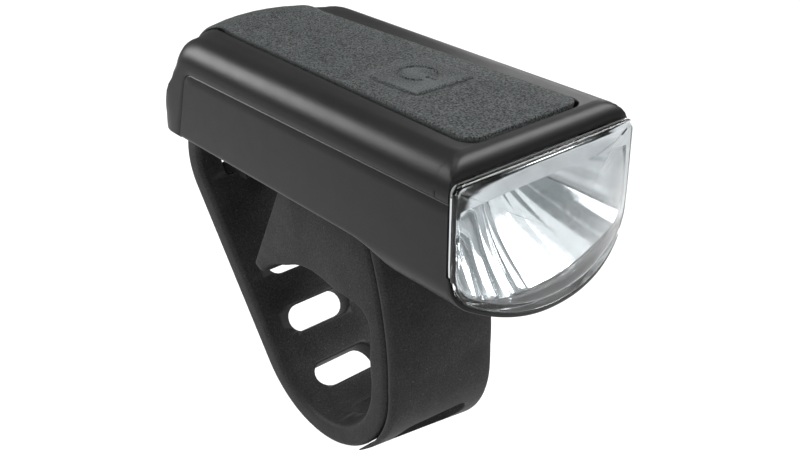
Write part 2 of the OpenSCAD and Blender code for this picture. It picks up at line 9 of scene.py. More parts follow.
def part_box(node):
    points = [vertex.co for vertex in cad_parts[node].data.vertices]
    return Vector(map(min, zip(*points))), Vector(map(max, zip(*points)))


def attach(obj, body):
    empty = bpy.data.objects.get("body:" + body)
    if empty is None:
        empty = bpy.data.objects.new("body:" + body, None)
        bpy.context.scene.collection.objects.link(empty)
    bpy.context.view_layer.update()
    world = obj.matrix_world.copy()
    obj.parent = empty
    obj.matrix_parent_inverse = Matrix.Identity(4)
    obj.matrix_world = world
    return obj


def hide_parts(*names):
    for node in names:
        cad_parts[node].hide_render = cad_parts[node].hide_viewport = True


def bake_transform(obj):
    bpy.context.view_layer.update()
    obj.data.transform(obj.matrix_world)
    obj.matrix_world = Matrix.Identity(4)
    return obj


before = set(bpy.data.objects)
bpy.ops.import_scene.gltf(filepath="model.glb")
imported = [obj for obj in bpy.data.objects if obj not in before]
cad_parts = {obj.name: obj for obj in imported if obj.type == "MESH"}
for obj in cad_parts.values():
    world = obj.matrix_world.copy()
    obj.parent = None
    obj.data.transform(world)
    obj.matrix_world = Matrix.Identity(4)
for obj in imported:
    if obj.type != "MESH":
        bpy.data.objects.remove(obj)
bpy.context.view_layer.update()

# Sizes are in millimetres. The light's own frame has y = 0 at the lens rim and z = 0 at the underside.
MM = 0.001


def corners(node):
    """Lowest and highest corner of a CAD node, in millimetres."""
    return [np.array(corner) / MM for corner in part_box(node)]


UPPER_LOW, UPPER_HIGH = corners("upper_housing")
RIM_Y = 0.6
BASE_Z = corners("mount_plate")[1][2]
LIGHT = np.array([0, UPPER_LOW[1] - RIM_Y, BASE_Z])
HALF_W = UPPER_HIGH[0]
BODY_L = (UPPER_HIGH - LIGHT)[1]
BODY_H = (UPPER_HIGH - LIGHT)[2]
HEAD_DROP = 0.3 - (corners("lower_housing")[0] - LIGHT)[2]
LENS_BULGE = -(corners("lens")[0] - LIGHT)[1]
PAD_LOW, PAD_HIGH = [corner - LIGHT for corner in corners("top_pad")]
KEY_LOW, KEY_HIGH = [corner - LIGHT for corner in corners("button_key")]
FLAP_LOW, FLAP_HIGH = [corner - LIGHT for corner in corners("port_flap")]

# housing
WALL = 1.8
SHOULDER_R = 4.6
SHOULDER_X = HALF_W - SHOULDER_R
REAR_R = 16
REAR_Y = BODY_L - REAR_R
REAR_Z = BODY_H - REAR_R
REAR_ARC = REAR_R * pi / 2
PATH_FOOT = REAR_Y + REAR_ARC + REAR_Z
FOOT_R = 0.6
PLAN_R = 7.0
REAR_DIP = 3.3
DIP_ACROSS = (9, 19)
DIP_START = (4, 13)
DIP_END = (13, 27)
DIP_DEPTH = (2, 5.5)
CROWN = 5.5
CROWN_HALF = 14
LIP_R = 2.8
LENS_TOP = BODY_H - LIP_R
CHIN_R = 34
CHIN_CORNER_R = 4.6
HEAD_TOE = 6
HEAD_BACK = 18.5
PARTING_DEPTH = 5.7
PARTING_Z = BODY_H - PARTING_DEPTH
PARTING_FOOT = BODY_L - 9.4
PARTING_TILT = atan2(4.2, PARTING_Z)
PARTING_R = 2.6
SEAM_R = 0.16
SEAM_BEVEL = 0.05
LEDGE = 0.3
CEILING = 2.9
REAR_CEILING = 2.2

# pad, flap and key
PAD_FRONT = PAD_LOW[1]
PAD_REAR = PAD_HIGH[1]
PAD_HALF = (PAD_HIGH[0] - 0.45, 9.95)
PAD_PROUD = PAD_HIGH[2] - BODY_H
PAD_CORNER_R = 2.6
PAD_GAP = 0.6
RECESS = 1.4
FLAP_HALF = FLAP_HIGH[0]
FLAP_GAP = 0.35
FLAP_RECESS = 1.05
FLAP_CORNER_R = 3
KEY_Y = (KEY_LOW[1] + KEY_HIGH[1]) / 2
KEY_GAP = 0.35
KEY_CORNER_R = 0.9
KEY_EDGE_R = 0.3
KEY_T = 1.1
POST_R = 1.6
POST_HOLE = 3.4
PORT_HALF = 5.2
PORT_Z = (9.9, 14.3)

# strap, in the part's frame, whose origin is on the handlebar's axis
BAR_R = 15.9
STRAP_T = 4.2
STRAP_R = BAR_R + STRAP_T
STRAP_EDGE_R = 1.0
STRAP_HALF = corners("strap_tail")[1][0]
SADDLE_TOP = corners("mount_plate")[0][2]
SADDLE_FRONT = -13.4
SADDLE_REAR = 7.4
SADDLE_TIP = (18.9, 10.2)
RUN_ANGLE = radians(-35.68)
RUN_N = np.array([cos(RUN_ANGLE), sin(RUN_ANGLE)])
RUN_H = np.array([-sin(RUN_ANGLE), cos(RUN_ANGLE)])
RUN_END = 38
CURL_R = 8
CURL_TURN = radians(60)
SLOT_L = 14.8
SLOT_H = 5.5
SLOT_X = 1.2
HOOK_SLOT_L = 13.4
HOOK_SLOT_H = 5.6
HOOK_SLOT_CORNER = 0.6
HOOK_SLOT_RIM = 0.2
SLOT_PITCH = 12.6
FIRST_SLOT = 5.4
RUN_SLOTS = 2
HOOK_SLOT = RUN_END + 2.3


# mesh helpers

NO_SHIFT = np.zeros(3)


def quarter(steps):
    """Angles of a quarter turn."""
    return np.linspace(0, pi / 2, steps)


def full_turn(steps):
    """Angles of a full turn, without its end."""
    return np.linspace(0, 2 * pi, steps + 1)[:-1]


def share_of(low, high, value):
    """How far a value has come from a low to a high one, from 0 to 1."""
    return np.clip((np.asarray(value, float) - low) / (high - low), 0, 1)


def smooth_max(a, b, k):
    """Larger of two values, rounded where they are closer than k."""
    h = np.maximum(k - np.abs(a - b), 0) / k
    return np.maximum(a, b) + h * h * k / 4


def smooth_step(low, high, value):
    """Smooth rise from 0 at a low value to 1 at a high one."""
    t = share_of(low, high, value)
    return t * t * (3 - 2 * t)


def round_off(distance, r):
    """How far a rounded edge of radius r lies under its corner at a distance from the edge."""
    lack = np.clip(r - np.asarray(distance, float), 0, r)
    return r - np.sqrt(r * r - lack * lack)


def grid_faces(rows, cols, closed=False, looped=False):
    """Quads of a grid of points, whose columns may close into a ring and whose rows may too."""
    last = cols if closed else cols - 1
    pairs = [(i, (i + 1) % rows) for i in range(rows if looped else rows - 1)]
    return [(i * cols + j, i * cols + (j + 1) % cols, k * cols + (j + 1) % cols, k * cols + j)
            for i, k in pairs for j in range(last)]


def thicken(outer, inner, faces):
    """Closed shell from two skins of the same layout, joined along the outer one's open edges."""
    count = len(outer)
    edges = {(face[i], face[(i + 1) % len(face)]) for face in faces for i in range(len(face))}
    rims = [(b, a, a + count, b + count) for a, b in sorted(edges) if (b, a) not in edges]
    back = [tuple(count + i for i in reversed(face)) for face in faces]
    return np.concatenate([outer, inner]), list(faces) + back + rims


def tube(rings):
    """Closed solid through rings of points, with a flat face on each end."""
    rings = np.asarray(rings)
    rows, cols = rings.shape[:2]
    faces = grid_faces(rows, cols, closed=True)
    faces += [tuple(range(cols))[::-1], tuple((rows - 1) * cols + j for j in range(cols))]
    return rings.reshape(-1, 3), faces


def arc(x, y, r, turns):
    """Points of a circle at angles."""
    return [(x + r * cos(a), y + r * sin(a)) for a in turns]


def stack(levels):
    """Closed solid through flat outlines, each with its height."""
    return tube([[(x, y, z) for x, y in outline] for outline, z in levels])


def bore(x, y, levels, steps):
    """Round cutter through levels of a radius and a height."""
    return stack([(arc(x, y, r, full_turn(steps)), z) for r, z in levels])


def together(solids):
    """Points and faces of several solids in one."""
    points, faces, start = [], [], 0
    for solid_points, solid_faces in solids:
        points.append(np.asarray(solid_points))
        faces += [tuple(start + i for i in face) for face in solid_faces]
        start += len(solid_points)
    return np.concatenate(points), faces


def shade(mesh, sharp):
    """Smooth shading, with edges over an angle in degrees kept sharp."""
    mesh.shade_smooth()
    mesh.set_sharp_from_angle(angle=radians(sharp))


def new_mesh(name, points, faces, sharp):
    """Smooth-shaded mesh from points in millimetres."""
    mesh = bpy.data.meshes.new(name)
    mesh.from_pydata((np.asarray(points, float) * MM).tolist(), [], faces)
    work = bmesh.new()
    work.from_mesh(mesh)
    bmesh.ops.remove_doubles(work, verts=work.verts, dist=2e-6)
    bmesh.ops.dissolve_degenerate(work, edges=work.edges, dist=1e-6)
    bmesh.ops.recalc_face_normals(work, faces=work.faces)
    work.to_mesh(mesh)
    work.free()
    shade(mesh, sharp)
    return mesh


def add(name, solid, material, sharp=40, origin=NO_SHIFT):
    """New object of the scene from a solid's points and faces, drawn from an origin."""
    obj = bpy.data.objects.new(name, new_mesh(name, solid[0] + origin, solid[1], sharp))
    bpy.context.scene.collection.objects.link(obj)
    obj.data.materials.append(material)
    return obj


def cut(obj, cutters, sharp=40, origin=NO_SHIFT):
    """Takes closed solids, given as points and faces, out of an object."""
    points, faces = together(cutters)
    tool = bpy.data.objects.new("cutter", new_mesh("cutter", points + origin, faces, sharp))
    bpy.context.scene.collection.objects.link(tool)
    boolean = obj.modifiers.new("cut", "BOOLEAN")
    boolean.operation = "DIFFERENCE"
    boolean.solver = "EXACT"
    boolean.object = tool
    graph = bpy.context.evaluated_depsgraph_get()
    obj_mesh = bpy.data.meshes.new_from_object(obj.evaluated_get(graph), depsgraph=graph)
    obj.modifiers.clear()
    obj.data = obj_mesh
    bpy.data.objects.remove(tool)
    shade(obj_mesh, sharp)


def slot_outline(length, height, r, steps=6):
    """Closed outline of a slot with corners of radius r, its length along the first axis."""
    r = min(r, height / 2 - 0.02)
    x, y = length / 2 - r, height / 2 - r
    turns = np.linspace(0, pi / 2, steps)
    right = [(x + r * sin(a), -y - r * cos(a)) for a in turns]
    right += [(x + r * cos(a), y + r * sin(a)) for a in turns]
    return np.array(right + [(-across, -along) for across, along in right])


# materials

# places of the colours among a mix node's inputs and outputs
MIX_FIRST = 6
MIX_SECOND = 7
MIX_RESULT = 2


def wire(tree, node, inputs):
    """Fills a node's inputs, each with a plain value or another node's output."""
    for name, value in inputs.items():
        if isinstance(value, bpy.types.NodeSocket):
            tree.links.new(value, node.inputs[name])
        else:
            node.inputs[name].default_value = value


def node(tree, kind, inputs, **settings):
    """New shader node with its settings and inputs."""
    new = tree.nodes.new(kind)
    for name, value in settings.items():
        setattr(new, name, value)
    wire(tree, new, inputs)
    return new


def shader(name):
    """New material, its node tree and its surface."""
    material = bpy.data.materials.new(name)
    material.use_nodes = True
    return material, material.node_tree, material.node_tree.nodes["Principled BSDF"]


def noise(tree, scale, detail=3, roughness=0.5):
    """Noise in the object's own coordinates, its features about 1 / scale metres wide."""
    where = tree.nodes.new("ShaderNodeTexCoord").outputs["Object"]
    inputs = {"Vector": where, "Scale": scale, "Detail": detail, "Roughness": roughness}
    return node(tree, "ShaderNodeTexNoise", inputs).outputs["Fac"]


def ramp(tree, value, stops):
    """Colours over a value; each stop is a place and a grey level or a colour."""
    new = node(tree, "ShaderNodeValToRGB", {"Fac": value})
    elements = new.color_ramp.elements
    while len(elements) < len(stops):
        elements.new(0.5)
    for element, (place, level) in zip(elements, stops):
        element.position = place
        element.color = (*np.broadcast_to(level, 3), 1)
    return new.outputs["Color"]


def mixed(tree, factor, first, second, mode="MIX"):
    """Second colour over the first, by a factor."""
    inputs = {"Factor": factor, MIX_FIRST: first, MIX_SECOND: second}
    return node(tree, "ShaderNodeMix", inputs, data_type="RGBA", blend_type=mode).outputs[MIX_RESULT]


def bump(tree, height, distance, strength=1.0, under=None):
    """Normals of bumps, over those of other bumps if there are any."""
    inputs = {"Height": height, "Distance": distance, "Strength": strength}
    if under is not None:
        inputs["Normal"] = under
    return node(tree, "ShaderNodeBump", inputs).outputs["Normal"]


def moulded(name, dark, pale, roughness, grain, depth, specular=0.5, edge_wear_and_highlight=0.0, dust=0.0, speckle=0.1):
    """Moulded plastic or rubber: cloudy colour, fine grain, pale edges that are partly wear and partly
    painted highlight, and specks of dust.
    """
    material, tree, surface = shader(name)
    colour = ramp(tree, noise(tree, 160, 4), [(0.3, dark), (0.7, pale)])
    fine = noise(tree, grain, 2, 0.6)
    speck = ramp(tree, fine, [(0.36, 1 - speckle), (0.5, 1.0), (0.64, 1 + speckle)])
    colour = mixed(tree, 1.0, colour, speck, "MULTIPLY")
    # pale convex edges: partly wear, partly painted highlight where rounded edges catch the light
    if edge_wear_and_highlight:
        edge = tree.nodes.new("ShaderNodeNewGeometry").outputs["Pointiness"]
        wear_and_highlight_mask = ramp(tree, edge, [(0.5, 0.0), (0.6, edge_wear_and_highlight)])
        pale_edge_colour = [min(1, 2.4 * c + 0.03) for c in np.broadcast_to(pale, 3)]
        colour = mixed(tree, wear_and_highlight_mask, colour, (*pale_edge_colour, 1))
    if dust:
        dots = ramp(tree, noise(tree, 2600, 0), [(0.74, 0.0), (0.82, dust)])
        colour = mixed(tree, dots, colour, (0.45, 0.45, 0.43, 1))
    shine = ramp(tree, noise(tree, 420, 3), [(0.3, roughness - 0.02), (0.7, roughness + 0.02)])
    soft = bump(tree, noise(tree, grain / 4, 2), depth * 0.5)
    relief = bump(tree, fine, depth, 1.0, soft)
    wire(tree, surface, {"Base Color": colour, "Roughness": shine, "Normal": relief,
                         "Specular IOR Level": specular})
    return material


def metal(name, colour, roughness, scale=900, depth=0.00001):
    """Plain or plated metal with faint cloudiness and scratches."""
    material, tree, surface = shader(name)
    tint = ramp(tree, noise(tree, scale / 4, 4), [(0.3, [0.9 * c for c in colour]), (0.7, colour)])
    dull = [(0.3, max(0.02, roughness - 0.05)), (0.7, roughness + 0.05)]
    relief = bump(tree, noise(tree, scale * 2, 2), depth, 0.4)
    wire(tree, surface, {"Base Color": tint, "Roughness": ramp(tree, noise(tree, scale, 3), dull),
                         "Normal": relief, "Metallic": 1.0})
    return material


def clear_plastic():
    """Clear moulded lens with a faint unevenness."""
    material, tree, surface = shader("clear_plastic")
    shine = ramp(tree, noise(tree, 300, 2), [(0.3, 0.0), (0.7, 0.03)])
    relief = bump(tree, noise(tree, 90, 1), 0.00004, 0.3)
    wire(tree, surface, {"Base Color": (0.97, 0.985, 0.99, 1), "Transmission Weight": 1.0, "IOR": 1.49,
                         "Roughness": shine, "Normal": relief})
    return material


HOUSING = moulded("housing_plastic", (0.007, 0.007, 0.0068), (0.009, 0.009, 0.0088), 0.38, 5200,
                  0.000012, specular=0.25, edge_wear_and_highlight=0.1)
PAD = moulded("pad_rubber", (0.034, 0.038, 0.038), (0.042, 0.046, 0.046), 0.7, 3600,
              0.00011, specular=0.2, edge_wear_and_highlight=0.3, dust=0.05, speckle=1.1)
SILICONE = moulded("strap_silicone", 0.018, 0.028, 0.55, 3600,
                   0.00004, specular=0.12, edge_wear_and_highlight=0.4, dust=0.06, speckle=0.4)
SEAL = moulded("seal_rubber", 0.010, 0.016, 0.6, 3000, 0.00002, 0.3)
GASKET = moulded("gasket_silicone", (0.40, 0.41, 0.41), (0.48, 0.50, 0.50), 0.5, 3000, 0.00002, 0.4)
PLATE = moulded("plate_plastic", 0.010, 0.016, 0.55, 4000, 0.00002, 0.2)
MIRROR = metal("metallised_coat", (0.68, 0.705, 0.72), 0.13, 1200, 0.000004)
STEEL = metal("screw_steel", (0.60, 0.60, 0.61), 0.3)
CORE = metal("aluminium", (0.75, 0.76, 0.77), 0.35)
FOIL = metal("pouch_foil", (0.62, 0.64, 0.66), 0.4, 500, 0.00004)
EMITTER = moulded("phosphor", (0.80, 0.66, 0.14), (0.92, 0.80, 0.24), 0.4, 3000, 0.00001)
WHITE_BOARD = moulded("white_solder_mask", (0.76, 0.76, 0.74), (0.82, 0.82, 0.80), 0.4, 2400, 0.00001)
BOARD = moulded("solder_mask", (0.016, 0.085, 0.035), (0.03, 0.14, 0.06), 0.4, 2400, 0.00002)
DARK_PLASTIC = moulded("switch_plastic", (0.015, 0.015, 0.017), (0.025, 0.025, 0.027), 0.5, 3000, 0.00002)
PALE_PLASTIC = moulded("plunger_plastic", (0.55, 0.52, 0.42), (0.64, 0.61, 0.52), 0.45, 3000, 0.00002)
WIRE = moulded("wire_insulation", (0.30, 0.015, 0.012), (0.42, 0.025, 0.02), 0.45, 3000, 0.00002)
TRAY = moulded("tray_plastic", 0.05, 0.07, 0.55, 3000, 0.00002)
CLEAR = clear_plastic()

NODE_MATERIALS = {
    "housing_seal": SEAL, "housing_screws": STEEL, "led_board": WHITE_BOARD, "led_emitter": EMITTER,
    "heat_sink": CORE, "led_leads": WIRE, "main_board": BOARD, "tact_switch": DARK_PLASTIC,
    "switch_plunger": PALE_PLASTIC, "usb_socket": STEEL, "battery_cell": FOIL, "battery_tray": TRAY,
    "battery_leads": WIRE, "mount_plate": PLATE, "mount_screw": STEEL, "strap_hook": PLATE,
}


def dress_nodes():
    """Better materials on the CAD nodes that keep their shape."""
    for name, material in NODE_MATERIALS.items():
        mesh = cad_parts[name].data
        mesh.materials.clear()
        mesh.materials.append(material)


# housing

def on_path(s, x, depth):
    """Points at lengths along the top and down the rear end, at an x and a depth under the skin."""
    s, x, depth = np.broadcast_arrays(*[np.asarray(value, float) for value in (s, x, depth)])
    over = s - REAR_Y
    turn = np.clip(over / REAR_R, 0, pi / 2)
    down = np.maximum(over - REAR_ARC, 0)
    crown = CROWN * np.maximum(1 - (x / CROWN_HALF) ** 2, 0) * (np.sin(turn) + np.cos(turn) - 1)
    dip = REAR_DIP * share_of(*DIP_ACROSS, np.abs(x)) ** 1.5 * smooth_step(*DIP_START, over)
    dip = dip * (1 - share_of(*DIP_END, over) ** 1.6) * (1 - smooth_step(*DIP_DEPTH, depth))
    reach = REAR_R - depth + crown - dip
    y = np.minimum(s, REAR_Y) + reach * np.sin(turn)
    return np.stack([x, y, REAR_Z + reach * np.cos(turn) - down], -1)


def path_at_height(z, depth):
    """Length along the path at which the rear end reaches a height, at a depth under the skin."""
    return REAR_Y + REAR_R * np.arccos((z - REAR_Z) / (REAR_R - depth))


def parting_line():
    """Side view of the line between the shells, over the rear end, as points (y, z)."""
    centre_z = PARTING_Z - PARTING_R
    centre_y = PARTING_FOOT - centre_z * tan(PARTING_TILT) - PARTING_R / cos(PARTING_TILT)
    bend = arc(centre_y, centre_z, PARTING_R, np.linspace(pi / 2, PARTING_TILT, 12))
    return np.array([(REAR_Y, PARTING_Z)] + bend + [(PARTING_FOOT, 0)])


def parting_depth(s):
    """Depth of the parting line under the skin along the path."""
    line = parting_line()
    steps = np.concatenate([np.linspace(line[i], line[i + 1], 40) for i in range(len(line) - 1)])
    turns = np.arctan2(steps[:, 0] - REAR_Y, steps[:, 1] - REAR_Z)
    reach = np.hypot(steps[:, 0] - REAR_Y, steps[:, 1] - REAR_Z)
    turn = (s - REAR_Y) / REAR_R
    if turn <= 0:
        return PARTING_DEPTH
    if turn < pi / 2:
        return REAR_R - np.interp(turn, turns, reach)
    z = REAR_Z - (s - REAR_Y - REAR_ARC)
    return BODY_L - (PARTING_FOOT - z * tan(PARTING_TILT))


def plan_half(y):
    """Half width of the housing seen from above."""
    over = np.clip(np.asarray(y, float) - (BODY_L - PLAN_R), 0, PLAN_R)
    return HALF_W - PLAN_R + np.sqrt(PLAN_R ** 2 - over ** 2)


def shoulder(length):
    """Skin and its inward normal, as (x, depth), at lengths from where the shoulder starts to bend."""
    length = np.asarray(length, float)
    turn = np.clip(length / SHOULDER_R, 0, pi / 2)
    below = np.maximum(length - SHOULDER_R * pi / 2, 0)
    skin = np.stack([SHOULDER_X + SHOULDER_R * np.sin(turn) + np.minimum(length, 0),
                     SHOULDER_R * (1 - np.cos(turn)) + below], -1)
    return skin, np.stack([-np.sin(turn), np.cos(turn)], -1)


def shoulder_length(depth):
    """Length along the shoulder down to a depth."""
    if depth < SHOULDER_R:
        return SHOULDER_R * np.arccos(1 - depth / SHOULDER_R)
    return SHOULDER_R * pi / 2 + depth - SHOULDER_R


RECESS_FRONT = PAD_FRONT - PAD_GAP
RECESS_END = path_at_height(FLAP_LOW[2] - FLAP_GAP, 0)
FRONT_CORNER = PAD_CORNER_R + PAD_GAP
END_CORNER = FLAP_CORNER_R + FLAP_GAP


def pad_side(s):
    """Half width of the pad, which tapers towards its rear end."""
    return PAD_HALF[0] + (PAD_HALF[1] - PAD_HALF[0]) * share_of(PAD_FRONT, PAD_REAR, s)


def recess_half(s):
    """Half width of the pad's and the flap's recess, with its round corners."""
    half = pad_side(s) + PAD_GAP
    half += (FLAP_HALF + FLAP_GAP - half) * smooth_step(PAD_REAR, PAD_REAR + 1.5, s)
    return half - round_off(s - RECESS_FRONT, FRONT_CORNER) - round_off(RECESS_END - s, END_CORNER)


def recess_depth(s):
    if s < RECESS_FRONT or s > RECESS_END:
        return 0
    return RECESS + (FLAP_RECESS - RECESS) * smooth_step(PAD_REAR, PAD_REAR + 1, s)


def upper_row(s, floor, drop):
    """Half of a row of the top shell's skin, from the middle to the parting line, and the row inside it."""
    half = recess_half(np.clip(s, RECESS_FRONT, RECESS_END))
    brim = half + SEAM_R
    edge = np.array([SEAM_R, SEAM_BEVEL, 0])
    floor_x = [0, POST_HOLE / 2, POST_HOLE, PORT_HALF, (PORT_HALF + half) / 2, half]
    skin_x = np.concatenate([floor_x, brim - edge])
    skin_d = np.concatenate([np.full(len(floor_x), floor), np.minimum(edge, floor)])
    start = brim - SHOULDER_X
    start = start if start < 0 else SHOULDER_R * asin(start / SHOULDER_R)
    end = shoulder_length(parting_depth(s))
    lengths = np.concatenate([np.linspace(start, end - SEAM_R, 16)[1:], [end - SEAM_BEVEL, end]])
    side, inward = shoulder(lengths)
    side = side + inward * np.concatenate([np.zeros(15), [SEAM_BEVEL, SEAM_R]])[:, None]
    x = np.concatenate([skin_x, side[:, 0]])
    depth = np.concatenate([skin_d, side[:, 1]])
    lip = round_off(s - RIM_Y, LIP_R)
    depth = np.where(depth < lip + 1, smooth_max(depth, lip, 0.25), depth) if lip > 0 else depth
    points = on_path(s, x, depth + drop)
    room = (plan_half(points[:, 1]) - brim) / (HALF_W - brim)
    points[:, 0] = np.where(x > brim, brim + (x - brim) * room, x)
    ceiling = CEILING + (REAR_CEILING - CEILING) * smooth_step(REAR_Y, REAR_Y + 4, s)
    inside_x = np.minimum(points[:, 0], plan_half(points[:, 1]) - WALL)
    inside_d = np.maximum(np.maximum(depth, ceiling), np.where(x > SHOULDER_X, depth + WALL * 0.5, 0))
    inside_d[-1] = depth[-1]
    return points, on_path(np.minimum(s, PATH_FOOT - WALL), inside_x, inside_d)


def upper_stations():
    """Rows of the top shell along the path: length, floor of the recess and drop of the whole row."""
    rows = [(RIM_Y + LIP_R * (1 - cos(a)), 0, 0) for a in quarter(8)]
    rows += [(RECESS_FRONT - SEAM_R, 0, 0), (RECESS_FRONT - SEAM_BEVEL, 0.03, 0), (RECESS_FRONT, SEAM_R, 0)]
    inner = [RECESS_FRONT + FRONT_CORNER * (1 - cos(a)) for a in np.linspace(0.02, pi / 2, 9)]
    inner += [12, 18, KEY_Y - POST_HOLE, KEY_Y, KEY_Y + POST_HOLE, 36, 44, 52, 60]
    inner += [REAR_Y, 67.5, PAD_REAR, PAD_REAR + 1, 72, 74]
    port = sorted(path_at_height(np.array(PORT_Z), FLAP_RECESS))
    inner += [port[0], (port[0] + port[1]) / 2, port[1], RECESS_END - END_CORNER]
    inner += [RECESS_END - END_CORNER * (1 - cos(a)) for a in np.linspace(pi / 2, 0.02, 8)[1:]]
    rows += [(s, recess_depth(s), 0) for s in inner]
    rows += [(RECESS_END, SEAM_R, 0), (RECESS_END + SEAM_BEVEL, SEAM_BEVEL, 0), (RECESS_END + SEAM_R, 0, 0)]
    rows += [(s, 0, 0) for s in np.linspace(RECESS_END + 0.5, PATH_FOOT - FOOT_R, 6)]
    turns = np.linspace(0.3, pi / 2, 5)
    rows += [(PATH_FOOT - FOOT_R * (1 - sin(a)), 0, FOOT_R * (1 - cos(a))) for a in turns]
    return rows, port


def skins(rows, from_middle):
    """Outer and inner skin of a shell from its half rows, which start or end in the middle."""
    def whole(half):
        other = half[::-1] * np.array([-1, 1, 1])
        return np.concatenate([other[:-1], half] if from_middle else [half, other[1:]])
    return [np.array([whole(half) for half in layer]) for layer in zip(*rows)]


def make_upper_housing():
    rows, port = upper_stations()
    outer, inner = skins([upper_row(*row) for row in rows], True)
    count, width = outer.shape[:2]
    places = np.array([row[0] for row in rows])

    def is_open(face):
        i, j = face[0] // width, face[0] % width
        x = abs(outer[i, j, 0] + outer[i, j + 1, 0]) / 2
        s = (places[i] + places[i + 1]) / 2
        in_post = x < POST_HOLE and abs(s - KEY_Y) < POST_HOLE
        return in_post or (x < PORT_HALF and port[0] < s < port[1])

    faces = [face for face in grid_faces(count, width) if not is_open(face)]
    faces.append(tuple((count - 1) * width + j for j in range(width)))
    solid = thicken(outer.reshape(-1, 3), inner.reshape(-1, 3), faces)
    shell = add("upper_shell", solid, HOUSING, origin=LIGHT)
    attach(shell, "light")
    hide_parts("upper_housing")


def chin_points(steps=(9, 14)):
    """Lower edge of the lamp head seen from the front, from the side to the middle."""
    corner_x = HALF_W - CHIN_CORNER_R
    centre_z = CHIN_R - HEAD_DROP
    corner_z = centre_z - sqrt((CHIN_R - CHIN_CORNER_R) ** 2 - corner_x ** 2)
    turn = atan2(corner_z - centre_z, corner_x)
    corner = arc(corner_x, corner_z, CHIN_CORNER_R, np.linspace(0, turn, steps[0]))
    return np.array(corner + arc(0, centre_z, CHIN_R, np.linspace(turn, -pi / 2, steps[1])[1:]))


def head_floor(y):
    """Lowest height of the underside along the light: the lamp head's slope, rounded at both ends."""
    slope = -HEAD_DROP * (HEAD_BACK - y) / (HEAD_BACK - HEAD_TOE)
    return -smooth_max(-smooth_max(slope, -HEAD_DROP - 1, 3), 0, 2.5)


def parting_height(y):
    line = parting_line()
    return np.interp(y, line[:, 0], line[:, 1])


def lower_row(y):
    """Half of a row of the bottom shell's skin, from the parting line to the middle, and the row inside."""
    chin = chin_points()
    top = parting_height(y)
    edge = np.array([LEDGE, LEDGE * 0.4, 0])
    flank = np.linspace(top - LEDGE, min(chin[0, 1] + 0.4, top), 8)[1:]
    heights = np.concatenate([top - edge[::-1], flank])
    depth = np.minimum(BODY_H - heights, SHOULDER_R)
    x = SHOULDER_X + np.sqrt(SHOULDER_R ** 2 - (SHOULDER_R - depth) ** 2)
    x[:3] -= edge
    floor = head_floor(y)
    under = np.where(chin[:, 1] < floor + 2, smooth_max(chin[:, 1], floor, 1.0), chin[:, 1])
    x = np.concatenate([x, chin[:, 0]])
    z = np.minimum(np.concatenate([heights, under]), top)
    points = np.stack([x, np.full(len(x), y), z], -1)
    inside_y = min(y, PARTING_FOOT - 1.2)
    side = len(heights)
    inside_x = np.concatenate([x[:side] - WALL, chin[:, 0] * (1 - WALL / HALF_W)])
    inside_z = np.minimum(np.concatenate([heights, under + WALL]), parting_height(inside_y))
    return points, np.stack([inside_x, np.full(len(x), inside_y), inside_z], -1)


def make_lower_housing():
    line = parting_line()
    places = [RIM_Y, RIM_Y + 0.1, *np.linspace(1.5, 22, 24), 30, 40, 50, 60, REAR_Y, *line[1:-1, 0]]
    places += list(np.linspace(line[-2, 0], PARTING_FOOT - 0.15, 8)[1:])
    outer, inner = skins([lower_row(y) for y in places], False)
    solid = thicken(outer.reshape(-1, 3), inner.reshape(-1, 3), grid_faces(*outer.shape[:2]))
    shell = add("lower_shell", solid, HOUSING, origin=LIGHT)
    cut(shell, [screw_recess(place) for place in screw_places()])
    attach(shell, "light")
    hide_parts("lower_housing")


SCREW_HEAD_R = 1.9
SCREW_RECESS = 1.7


def screw_places():
    """Middles of the four housing screws on the underside, from the frame."""
    low, high = corners("housing_screws")
    reach = high[0] - SCREW_HEAD_R
    ends = (low[1] + SCREW_HEAD_R, high[1] - SCREW_HEAD_R)
    return [(side * reach, y) for side in (-1, 1) for y in ends]


def screw_recess(place):
    """Counterbore of a housing screw with a slightly chamfered mouth."""
    mouth = SCREW_HEAD_R + 0.2
    levels = [(mouth, -1), (mouth, 0), (SCREW_HEAD_R, 0.2), (SCREW_HEAD_R, SCREW_RECESS)]
    return bore(*place, [(r, BASE_Z + z) for r, z in levels], 40)


# lamp

LENS_CORNER = 1.3


def mouth_outline(per_arc=10):
    """Outline of the lamp's mouth, as points (x, z) from the middle of the top round by the chin."""
    half = chin_points((per_arc, 2 * per_arc))
    shoulder_z = BODY_H - SHOULDER_R
    reach = asin((LENS_TOP - shoulder_z) / SHOULDER_R)
    corner = (SHOULDER_X + SHOULDER_R * cos(reach), LENS_TOP)
    turns = np.linspace(reach - LENS_CORNER / SHOULDER_R, 0, per_arc)
    bend = arc(SHOULDER_X, shoulder_z, SHOULDER_R, turns)
    top = [(x, LENS_TOP) for x in np.linspace(0, corner[0] - LENS_CORNER, 14)]
    top += list(curve(top[-1], corner, bend[0], 9)[1:-1])
    flat = [(HALF_W, z) for z in np.linspace(shoulder_z, half[0, 1], 10)[1:-1]]
    right = np.array(top + bend + flat + list(half[:-1]))
    left = right[:0:-1] * np.array([-1, 1])
    return np.concatenate([right, [(0, -HEAD_DROP)], left])


LENS_MIDDLE = np.array([0, 4.4])
LENS_WALL = 1.0
LENS_BACK = -0.12
LENS_RIM = 0.8
LIP_T = 0.75
SILL_Z = -5.6
SEAT_Y = 0.58


def inset(outline, distance):
    """Outline drawn in towards its middle by a distance, measured square to its sides."""
    ahead = np.roll(outline, -1, 0) - np.roll(outline, 1, 0)
    normal = np.stack([ahead[:, 1], -ahead[:, 0]], -1) / np.linalg.norm(ahead, axis=1)[:, None]
    towards = LENS_MIDDLE - outline
    normal *= np.sign((normal * towards).sum(1))[:, None]
    return outline + normal * distance


def lens_front(x, z):
    """Front of the lens: it bulges across all the way down, and less towards its straight top edge."""
    across = 1 - (np.abs(x) / HALF_W) ** 2.5
    return -LENS_RIM - (LENS_BULGE - LENS_RIM) * across * (1 - share_of(1, LENS_TOP, z) ** 2)


